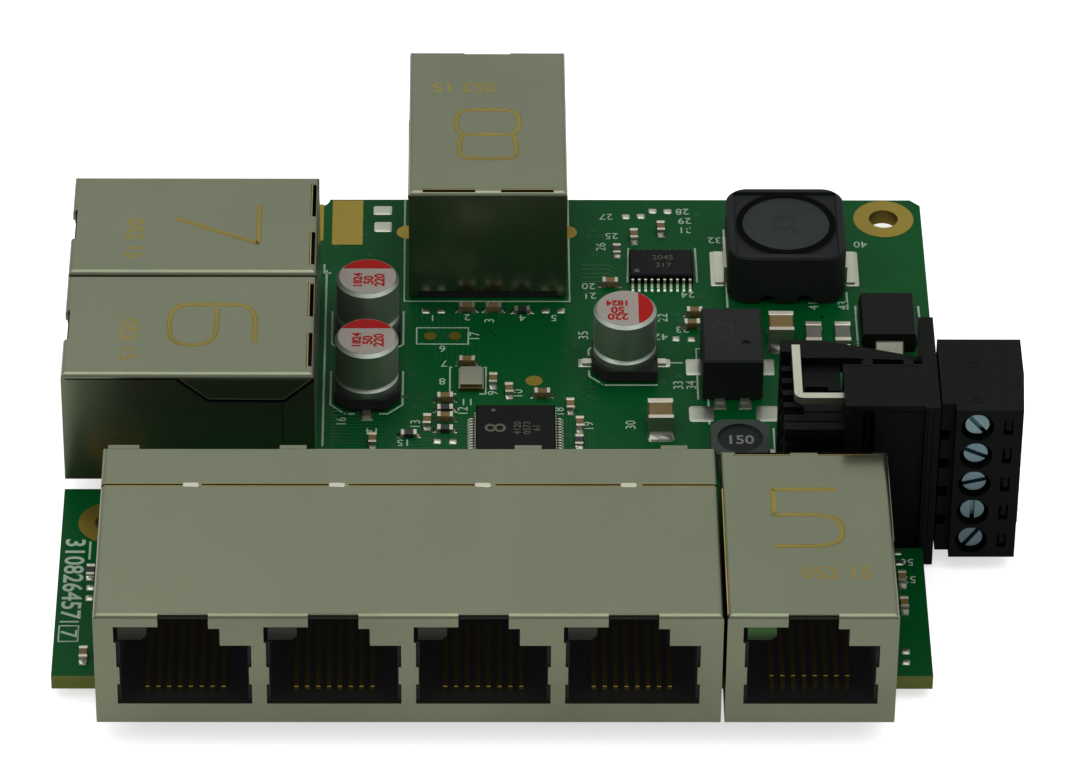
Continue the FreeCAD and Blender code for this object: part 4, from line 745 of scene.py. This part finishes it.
def make_chip_parts():
    """Bodies, plated ends and solder of the small chip parts, each a little off square."""
    caps, bulk = chip_places("ceramic_capacitors")
    resistors, beads = chip_places("chip_resistors")

    def both(part, small, large):
        return [set_out(part(PLATED), small, 2.0), set_out(part(BULK_PLATED), large, 1.0)]

    def soldered(length, places, wide, high):
        return set_out(solder_ramp(length), [(place, turn, (size[0], size[1] * wide, size[2] * high))
                                             for place, turn, size in places], 1.0)

    put("ceramic_bodies", both(chip_body, caps, bulk), "ceramic", stands_for=["ceramic_capacitors"])
    put("resistor_bodies", joined(both(chip_body, resistors, beads), own_finish=True), "resistor bead",
        stands_for=["chip_resistors"])
    put("plated_ends", both(chip_ends, caps + resistors, bulk + beads), "plated_end")
    pads = Shape()
    for sign in (-1, 1):
        pads.skin([[(x, y, z) for x, y in rounded_square(sign * 0.78, 0, size, size, 0.16, 2)]
                   for size, z in ((0.86, 0.0), (0.82, 0.04), (0.5, 0.1))])
    bare = [((x, y, 0.0), 90 if x < 5 or x > 80 else 0, (1, 1, 1)) for x, y in BARE_LANDS]
    put("chip_solder", [soldered(0.24, caps + resistors, 1.12, 0.85), soldered(0.2, bulk + beads, 1.08, 0.5),
                        set_out(pads.mesh(50), bare, 3.0)], "solder")


PART_LANDS = [  # (x, y, width, depth)
    (30.8, 73.58, 1.95, 1.5), (30.85, 70.75, 1.85, 1.7),
    (62.3, 47.4, 1.65, 2.6), (69.7, 47.4, 1.4, 2.6), (62.85, 39.85, 2.5, 2.5), (69.4, 39.9, 2.2, 2.5),
    (82.05, 57.4, 3.3, 1.5), (82.05, 49.3, 3.3, 1.7),
    (65.15, 63.7, 1.5, 5.8), (78.85, 63.7, 1.5, 5.8),
    (64.75, 41.35, 1.3, 1.5), (67.25, 41.35, 1.3, 1.5), (64.75, 51.4, 1.3, 1.5), (67.25, 51.4, 1.3, 1.5),
    (63.4, 32.6, 1.2, 3.2), (69.4, 32.6, 1.2, 3.2),
]


def make_pads():
    """Soldered lands of the larger parts, with the solder crowned on them."""
    lands = list(PART_LANDS)
    for can, at, size, turned in cans():
        for reach in (-3.9, 3.9):
            lands.append((at.x + reach, at.y, 1.5, 1.3) if turned else (at.x, at.y + reach, 1.3, 1.5))
    crown = Shape().skin([[(80.6, y, 0.0), (83.5, y, 0.0), (83.35, y, z), (80.75, y, z)]
                          for y, z in ((48.5, 0.05), (48.75, 0.3), (49.2, 0.85), (49.62, 1.4), (49.7, 1.48))])
    put("diode_tab_solder", crown.mesh(40), "tab_solder")
    shape = Shape()
    for x, y, wide, deep in lands:
        rings = []
        for draw, z in ((0.0, 0.0), (0.02, 0.03), (0.15, 0.055), (0.5, 0.07)):
            w, d = max(0.2, wide - 2 * draw), max(0.2, deep - 2 * draw)
            rings.append([(px, py, z) for px, py in rounded_square(x, y, w, d, min(w, d) * 0.14, 3)])
        shape.skin(rings)
    put("part_lands", shape.mesh(40), "solder")


def make_chip_legs():
    """Gull-wing legs of both chips, bent from flat strip, with the solder at their feet."""
    reach = 6  # no leg of a chip is further from its middle than this
    legs, feet = [], []
    for node in ("switch_chip", "regulator_chip"):
        at, size = middle_of(node)
        for low, high in islands("chip_leads"):
            middle, spread = (low + high) / 2, high - low
            away = middle - at
            if abs(away.x) > reach or abs(away.y) > reach:
                continue
            across = abs(away.x) / size.x > abs(away.y) / size.y
            turn = (0 if away.x > 0 else 180) if across else (90 if away.y > 0 else -90)
            length, width = (spread.x, spread.y) if across else (spread.y, spread.x)
            legs.append(((middle.x, middle.y, 0.0), turn, (length, width, high.z)))
            feet.append(((middle.x, middle.y, 0.0), turn, (length, width, 1.0)))
    half = 0.1  # half the strip's thickness
    leg = Shape().skin([cut(x, 0.5, z - half, 0.5, z + half) for x, z in (
        (-0.5, 0.93), (-0.3, 0.93), (-0.2, 0.86), (-0.08, 0.3), (0.02, 0.12), (0.5, 0.1))])
    foot = Shape().skin([cut(x, 0.62, 0.0, 0.5, height) for x, height in (
        (-0.02, 0.02), (0.1, 0.12), (0.5, 0.1), (0.85, 0.02))])
    put("chip_legs", set_out(leg.mesh(), legs), "tin_plate", stands_for=["chip_leads"])
    put("leg_solder", set_out(foot.mesh(), feet), "solder")


# node, finish, slot, how far the marked face is sunk, figures as (text, x, y, size, turn, bold) and
# dots as (x, y, radius, sides), both from the middle of the part
MARKS = [
    ("switch_chip", "faint_mark", "package", 0.0, [
        ("8", -1.9, 0.2, 2.2, 90), ("4120", 0.2, 0.2, 0.75, 90), ("0573", 1.15, 0.2, 0.75, 90),
        ("61", 2.1, 0.2, 0.75, 90)], [(-2.2, 3.0, 0.22, 12)]),
    ("regulator_chip", "faint_mark", "package", 0.0, [
        ("2045", 0.2, 0.7, 0.8, 0), ("317", 0.2, -0.6, 0.8, 0)], [(-2.5, -1.5, 0.28, 14)]),
    ("power_inductor_core", "dark_mark", "ferrite", 0.0, [("33", 0, 0, 2.5, 90, 0.08)], []),
    ("line_choke", "dark_mark", "ferrite", 0.0, [("62", -0.8, 0.6, 2.2, 90), ("05", 1.5, 1.6, 1.2, 90)], []),
    ("small_inductor", "pale_mark", "ferrite", 0.28, [("150", 0, 0, 1.35, 0, 0.03)], []),
]


def make_part_marks():
    """Printed and moulded marks on the tops of the parts: plain numbers, an index dot, and a dark ring of
    painted shade in the gap round the power inductor's core.
    """
    for node, finish, slot, sunk, texts, dots in MARKS:
        at, size = middle_of(node)
        top = at.z + size.z / 2 - sunk
        if node == "small_inductor":
            put("small_inductor_face", Shape().disc(at.x, at.y, 2.2, top - 0.04, top), "ferrite")
        marks = [figures(text, at.x + x, at.y + y, top + 0.005, high, turn, bold=sum(bold))
                 for text, x, y, high, turn, *bold in texts]
        for x, y, radius, sides in dots:
            marks.append(Shape().disc(at.x + x, at.y + y, radius, top, top + 0.01, sides).mesh())
        put(node.replace("_core", "") + "_mark", marks, finish)
        if node == "power_inductor_core":
            # painted shade: a flat dark ring standing for the shade in the gap between the core and the case's
            # rim
            rim, level = size.x / 2 + 0.04, corners("power_inductor_case")[1].z
            groove = Shape().ring(at.x, at.y, rim + 0.58, rim, level - 0.03, level + 0.006, 48)
            put("power_inductor_groove", groove, "shade_line")


def make_can_tops():
    """White lacquered tops of the capacitors with a red segment on the minus side and red figures."""
    for can, at, size, turned in cans():
        radius, top = size.x / 2, at.z + size.z / 2
        face = Shape().skin([[(x, y, height) for x, y in round_outline(at.x, at.y, span, 48)]
                             for span, height in ((radius - 0.36, top), (radius - 0.3, top + 0.012),
                                                  (0.05, top + 0.015))])
        # the red segment: the angle of its middle, half its width in degrees, its steps and its reach
        minus, spread, steps, reach = 0 if turned else 90, 62, 24, radius - 0.34
        angles = [math.radians(minus - spread + 2 * spread * i / steps) for i in range(steps + 1)]
        arc = [(at.x + reach * math.cos(angle), at.y + reach * math.sin(angle)) for angle in angles]
        prints = [Shape().plate(arc, top + 0.012, top + 0.022).mesh()]
        for k, (text, high) in enumerate((("220", 1.0), ("50", 1.0), ("1824", 0.85))):
            x, y = (at.x - 0.75, at.y - 1.35 + 1.1 * k) if turned else (at.x + 1.25 - 1.1 * k, at.y - 0.6)
            prints.append(figures(text, x, y, top + 0.02, high, 180 if turned else 90, bold=0.05))
        put(f"capacitor_top_{can}", face.mesh(35), "white_lacquer")
        put(f"capacitor_print_{can}", prints, "red_lacquer")


# ---- socket shields ----

PORT_PITCH, PORTS = 13.97, 4


class Single:
    """A single socket, with places given along the way into it and aside to its right."""

    def __init__(self, name):
        self.name = name
        self.low, self.high = corners(f"{name}_shield")
        middle = (self.low + self.high) / 2
        self.way, self.across, self.base = {
            "front_jack": (Vector((0, 1)), Vector((1, 0)), Vector((middle.x, self.low.y))),
            "rear_jack": (Vector((0, -1)), Vector((-1, 0)), Vector((middle.x, self.high.y))),
        }.get(name, (Vector((1, 0)), Vector((0, -1)), Vector((self.low.x, middle.y))))

    def at(self, along, aside):
        place = self.base + self.way * along + self.across * aside
        return place.x, place.y

    def strip(self, near, far, left, right):
        """A four-cornered outline between two depths and two sides."""
        return [self.at(near, left), self.at(near, right), self.at(far, right), self.at(far, left)]


SINGLES = [Single(name) for name in ("front_jack", "left_front_jack", "left_rear_jack", "rear_jack")]


def make_shield_trim():
    """Raw sheet edges that catch the light: the gang's seam, its bends, bridges and back tabs."""
    low, high = corners("gang_shield")
    top, seam, back = high.z, high.y, corners("gang_rear_cover")[1].y
    edge = Shape()
    edge.block((low.x + 0.3, seam - 0.06, top - 0.24), (high.x - 0.3, seam + 0.02, top + 0.012))
    edge.block((low.x + 0.3, seam + 0.27, top - 0.24), (high.x - 0.3, seam + 0.31, top + 0.008))
    edge.block((low.x - 0.012, seam + 0.1, top - 0.55), (low.x + 0.03, back - 0.3, top - 0.3))
    edge.block((low.x - 0.012, low.y + 0.5, top - 0.55), (low.x + 0.02, low.y + 4.2, top - 0.4))
    single = SINGLES[0].low
    edge.block((single.x - 0.012, single.y + 0.6, top - 0.42), (single.x + 0.1, 11.8, top - 0.16))
    first_port, half_latch = low.x + 8.37, 2.45
    bends = [low.x + 0.35]
    for k in range(PORTS):
        middle = first_port + PORT_PITCH * k
        bends += [middle - half_latch, middle + half_latch]
    bends.append(high.x - 0.35)
    for x0, x1 in zip(bends[::2], bends[1::2]):
        edge.block((x0, low.y + 0.44, top - 0.05), (x1, low.y + 0.5, top + 0.012))
    put("gang_raw_edges", edge, "raw_edge")
    bridges, tabs = Shape(), Shape()
    for k in range(PORTS):
        outline = rounded_square(low.x + 8.55 + 13.87 * k, seam + 0.12, 1.55, 0.62, 0.2, 2)
        bridges.plate(outline, top - 0.02, top + 0.04, 0.03)
    put("gang_bridges", bridges.mesh(30), "bridge")
    for x0, x1 in ((5.1, 8.1), (21.5, 24.1), (44.0, 46.6), (58.0, 60.6)):
        tabs.block((x0, back - 0.3, top - 0.28), (x1, back + 0.3, top - 0.02), 0.04)
    put("gang_back_tabs", tabs, "shield")


def make_side_flaps():
    """The roof sheet of each single socket comes down over one side wall as a flap with slanted ends, with a
    painted highlight along the flap's lower edge and dark lines of painted shade below the flap and the roof's
    bend.
    """
    wall = 8.0  # from the socket's middle to its side wall
    flap, cut, shade = Shape(), Shape(), Shape()

    def sheet(shape, jack, outline, near, far):
        """A thin form on the side wall, its outline as (along, height), from one depth to another."""
        shape.skin([[(*jack.at(along, wall + depth), height) for along, height in outline]
                    for depth in (near, far)])

    def line(shape, jack, chain, width, near, far):
        for (a0, h0), (a1, h1) in zip(chain, chain[1:]):
            run = Vector((a1 - a0, h1 - h0)).normalized() * width / 2
            sheet(shape, jack, [(a0 - run.y, h0 + run.x), (a1 - run.y, h1 + run.x), (a1 + run.y, h1 - run.x),
                                (a0 + run.y, h0 - run.x)], near, far)

    for jack in SINGLES:
        rim = [(11.6, 13.0), (14.35, 10.6), (21.55, 10.55), (24.3, 13.0)]
        sheet(flap, jack, rim, -0.02, 0.06)
        # painted highlight: a thin pale line along the flap's cut lower edge
        line(cut, jack, rim, 0.1, 0.04, 0.085)
        # painted shade: a dark line under the flap's rim, one under the roof's bend, and an embossed line on the
        # wall drawn as a dark line
        line(shade, jack, [(11.35, 12.95), (14.25, 10.36), (21.65, 10.31), (24.55, 12.95)], 0.34, -0.01, 0.03)
        line(shade, jack, [(0.4, 12.98), (11.4, 12.98)], 0.14, -0.02, 0.015)
        line(shade, jack, [(21.45, 10.4), (21.45, 0.9)], 0.07, -0.01, 0.01)
    put("side_flaps", flap, "shield")
    put("side_flap_edges", cut, "flap_edge_highlight")
    put("side_flap_gaps", shade, "shade_line")


def make_slot_lips():
    """The burr that narrows each fold slot, its brass cut edge, and the insert's dark feet below."""
    lip, edge, feet = Shape(), Shape(), Shape()
    for jack in SINGLES:
        for shape, near, far, rise in ((lip, 23.8, 23.9, 0.0), (edge, 23.9, 23.97, 0.004)):
            shape.plate(jack.strip(near, far, -6.8, -1.3), jack.high.z - 0.3, jack.high.z + rise)
            shape.plate(jack.strip(near, far, 1.3, 6.8), jack.high.z - 0.3, jack.high.z + rise)
        feet.plate(jack.strip(24.05, 24.25, -6.9, 6.9), 0.05, 1.35)
    put("fold_slot_lips", lip, "shield")
    put("fold_slot_edges", edge, "raw_edge")
    put("insert_feet", feet, "black_moulding")


# numerals on a grid one wide and two high, as chains of (across, up, corner radius)
NUMERALS = {
    "5": [[(0.95, 2, 0), (0, 2, 0.03), (0, 1.1, 0.03), (1, 1.1, 0.45), (1, 0, 0.45), (-0.02, 0, 0)]],
    "6": [[(0.95, 2, 0), (0, 2, 0.45), (0, 0, 0.45), (1, 0, 0.45), (1, 1.1, 0.45), (0.08, 1.1, 0)]],
    "7": [[(0, 2, 0), (1, 2, 0.03), (0.35, 0, 0)]],
    "8": [[(0.5, 2, 0), (0.95, 2, 0.35), (0.95, 1.25, 0.1), (0.88, 1.02, 0.1), (1, 0.8, 0.1), (1, 0, 0.35),
           (0, 0, 0.35), (0, 0.8, 0.1), (0.12, 1.02, 0.1), (0.05, 1.25, 0.1), (0.05, 2, 0.35), (0.5, 2, 0)],
          [(0.152, 1.02, 0), (0.5, 1.02, 0), (0.848, 1.02, 0)]],
}


def bent(chain, steps=5):
    """A chain of points with its corners rounded."""
    out = [chain[0][:2]]
    for before, corner, after in zip(chain, chain[1:], chain[2:]):
        at, back, on = Vector(corner[:2]), Vector(before[:2]), Vector(after[:2])
        reach = min(corner[2], (at - back).length * 0.49, (on - at).length * 0.49)
        start, end = at + (back - at).normalized() * reach, at + (on - at).normalized() * reach
        for i in range(steps + 1):
            t = i / steps
            point = start * (1 - t) ** 2 + at * 2 * t * (1 - t) + end * t ** 2
            out.append((point.x, point.y))
    return out + [chain[-1][:2]]


def make_number_etch():
    """The port's own number, burnt through the plating as a warm line on each single socket."""
    grid, wide, middle = 4.2, 6.4, 14.5
    for jack, text in zip(SINGLES, "5678"):
        top = jack.high.z
        chains = [[jack.at(middle + (v - 1.0) * grid, (u - 0.5) * wide) for u, v in bent(chain)]
                  for chain in NUMERALS[text]]
        turn = math.degrees(math.atan2(jack.across.y, jack.across.x))
        shown = joined([laid_lines(chains, 0.55, top - 0.01, top + 0.006),
                        figures("052 15", *jack.at(6.3, 2.4), top + 0.001, 1.75, turn, bold=0.03)])
        put(f"{jack.name}_number", shown, "etched_line")


def make_contact_tips():
    """Bright gold noses of the contact wires, the only part of them that catches the light."""
    shape = Shape()
    for node, tip, rise in (("gang_contacts", -5.5, 3.0), ("front_jack_contacts", -4.3, 3.3)):
        for low, high in islands(node):
            x = (low.x + high.x) / 2
            shape.block((x - 0.21, tip - 0.03, rise - 0.02), (x + 0.21, tip + 0.22, rise + 0.52), 0.05)
    put("contact_tips", shape, "gold_plate")


def make_solder_joints():
    """Solder joints below the board round every pin, tab and post."""
    pins = [((low.x + high.x) / 2, (low.y + high.y) / 2, -THICK) for low, high in islands("jack_pins")]
    posts = [(low.x + 0.4, high.y - 0.4, -THICK) for low, high in islands("header_posts")]
    small = grow(CONES, pins, Foot=0.00075, Waist=0.0004, Height=0.00062, Spread=0.15, Seed=3)
    large = grow(CONES, posts, Foot=0.0009, Waist=0.00062, Height=0.00062, Spread=0.1, Seed=5)
    put("tail_solder", joined([small, large], 40), "solder")


# ---- power connector ----


def make_header_trim():
    """Steps and ribs of the header's moulding: feet at its roof edge, comb ribs and flange lines, the thin dark
    lines among them being painted shade in its grooves and gaps.
    """
    low, high = corners("header_body")
    left, right, front, top = 75.7, 83.4, 20.0, high.z  # of the roofed part behind the comb
    body, dark = Shape(), Shape()
    for x in (77.55, 81.6):
        body.block((x, 26.0, top - 0.5), (x + 1.0, 26.75, top + 0.02), 0.06)
    for x0, x1 in ((76.7, 77.5), (78.45, 79.15)):
        body.block((x0, front - 0.28, top - 0.9), (x1, front + 0.1, top - 0.01), 0.05)
    # painted shade: thin dark lines in the grooves, gaps and flange lines of the moulding
    dark.block((left + 0.1, front - 0.02, top - 1.0), (right - 0.2, front + 0.02, top - 0.94))
    dark.block((77.75, front - 0.02, 0.5), (78.1, front + 0.02, top - 0.5))
    dark.block((left + 0.3, 25.85, top - 0.01), (right - 0.3, 25.93, top + 0.006))
    for y in (21.75, 23.2):
        dark.block((low.x + 0.1, y, 13.49), (left - 0.05, y + 0.22, 13.52))
    for z in (12.35, 11.1):
        dark.block((low.x + 0.1, 20.58, z), (left - 0.05, 20.62, z + 0.3))
    for x in (83.62, 84.1):
        dark.block((x, low.y - 0.012, 0.3), (x + 0.07, low.y + 0.02, top - 0.4))
    put("header_steps", body.mesh(30), "terminal_moulding")
    put("header_shades", dark, "shade_line")


def make_plug_details():
    """Moulding marks on the plug: two ejector marks, a slanted line and the tongues in its test slots."""
    low, high = corners("plug_body")
    top, raised = high.z, high.z + 0.04
    shape = Shape()
    for y in (26.2, 20.7):
        shape.ring(88.25, y, 0.5, 0.4, top, raised, 20)
    shape.skin([[(x, y, top), (x + 0.12, y, top), (x + 0.12, y, raised), (x, y, raised)]
                for x, y in ((90.83, low.y + 0.3), (91.25, high.y - 0.1))])
    for k in range(1, 6):
        z, x = middle_of(f"terminal_screw_{k}")[0].z, high.x - 1.75
        shape.block((x - 0.16, low.y + 0.2, z - 0.5), (x + 0.3, low.y + 0.82, z + 0.78))
    put("plug_marks", shape, "terminal_moulding", body="plug")


for make in (make_lands, make_print, make_tracks, make_chip_parts, make_pads, make_chip_legs,
             make_part_marks, make_can_tops, make_shield_trim, make_side_flaps, make_slot_lips,
             make_number_etch, make_contact_tips, make_solder_joints, make_header_trim, make_plug_details):
    make()

# ---- floor, light and camera ----


def make_floor():
    side, glow = 3.0, 0.62  # metres from the middle to an edge; how far the floor shines of itself
    mesh = bpy.data.meshes.new("floor")
    mesh.from_pydata([(-side, -side, 0), (side, -side, 0), (side, side, 0), (-side, side, 0)], [], [range(4)])
    floor = hang("floor", mesh)
    f = Finish("pale floor", Roughness=0.85)
    f.colour("ececea", "e8e8e6", scale=4.0)
    seen = f.add("LightPath").outputs
    shown = f.math("MAXIMUM", seen["Is Camera Ray"], f.math("MULTIPLY", seen["Is Glossy Ray"], 0.05))
    f.set(f.shader, Emission_Color=rgb("ffffff"), Emission_Strength=f.math("MULTIPLY", shown, glow))
    # clear from below, so that the underside can be looked at
    both = f.add("MixShader", i0=f.add("NewGeometry").outputs["Backfacing"],
                 i1=f.shader, i2=f.add("BsdfTransparent"))
    f.set(f.output, Surface=both)
    mesh.materials.append(f.material)


def make_light(name, place, aim, size, power):
    data = bpy.data.lights.new(name, "AREA")
    data.shape = "RECTANGLE"
    data.size, data.size_y = size
    data.energy = power
    lamp = hang(name, data)
    lamp.location = place
    lamp.rotation_euler = (Vector(aim) - Vector(place)).to_track_quat("-Z", "Y").to_euler()


def make_world():
    """White where the camera sees it; elsewhere soft, and stronger from high up at the back."""
    world = bpy.data.worlds.new("soft room")
    world.use_nodes = True
    bpy.context.scene.world = world
    w = Wiring(world.node_tree)
    w.tree.nodes.clear()
    high_back = w.add("VectorMath", {"operation": "DOT_PRODUCT"}, i1=(0.0, 0.785, 0.62),
                      i0=w.add("TexCoord").outputs["Generated"]).outputs["Value"]
    soft = w.math("MULTIPLY_ADD", w.ramp(high_back, 0.55, 0.95), 0.35, 0.48)
    strength = w.math("MAXIMUM", w.add("LightPath").outputs["Is Camera Ray"], soft)
    back = w.add("Background", Color=(1.0, 1.0, 0.985, 1.0), Strength=strength)
    w.add("OutputWorld", Surface=back)


def make_camera():
    place = Vector((-8.146, -514.684, 415.34)) * MM
    yaw, dip, roll = math.radians(0.976), math.radians(38.254), math.radians(0.66)
    ahead = Vector((math.sin(yaw) * math.cos(dip), math.cos(yaw) * math.cos(dip), -math.sin(dip)))
    right = Vector((math.cos(yaw), -math.sin(yaw), 0.0))
    up = right.cross(ahead)
    side = right * math.cos(roll) + up * math.sin(roll)
    top = up * math.cos(roll) - right * math.sin(roll)
    data = bpy.data.cameras.new("camera")
    data.lens, data.sensor_width = 221.2, 36.0
    data.shift_x, data.shift_y = -0.00462, -0.01233
    data.clip_start, data.clip_end = 0.01, 20.0
    camera = hang("camera", data)
    camera.matrix_world = Matrix.Translation(place) @ Matrix((side, top, -ahead)).transposed().to_4x4()
    bpy.context.scene.camera = camera


make_floor()
make_light("overhead", (0.1, 0.0, 1.1), (0.0, -0.1, 0.0), (1.9, 1.0), 9.0)
make_light("front left", (-0.9, -0.7, 0.8), (0.0, 0.0, 0.0), (0.7, 0.7), 3.0)
make_world()
make_camera()
bpy.context.scene.view_settings.view_transform = "Standard"
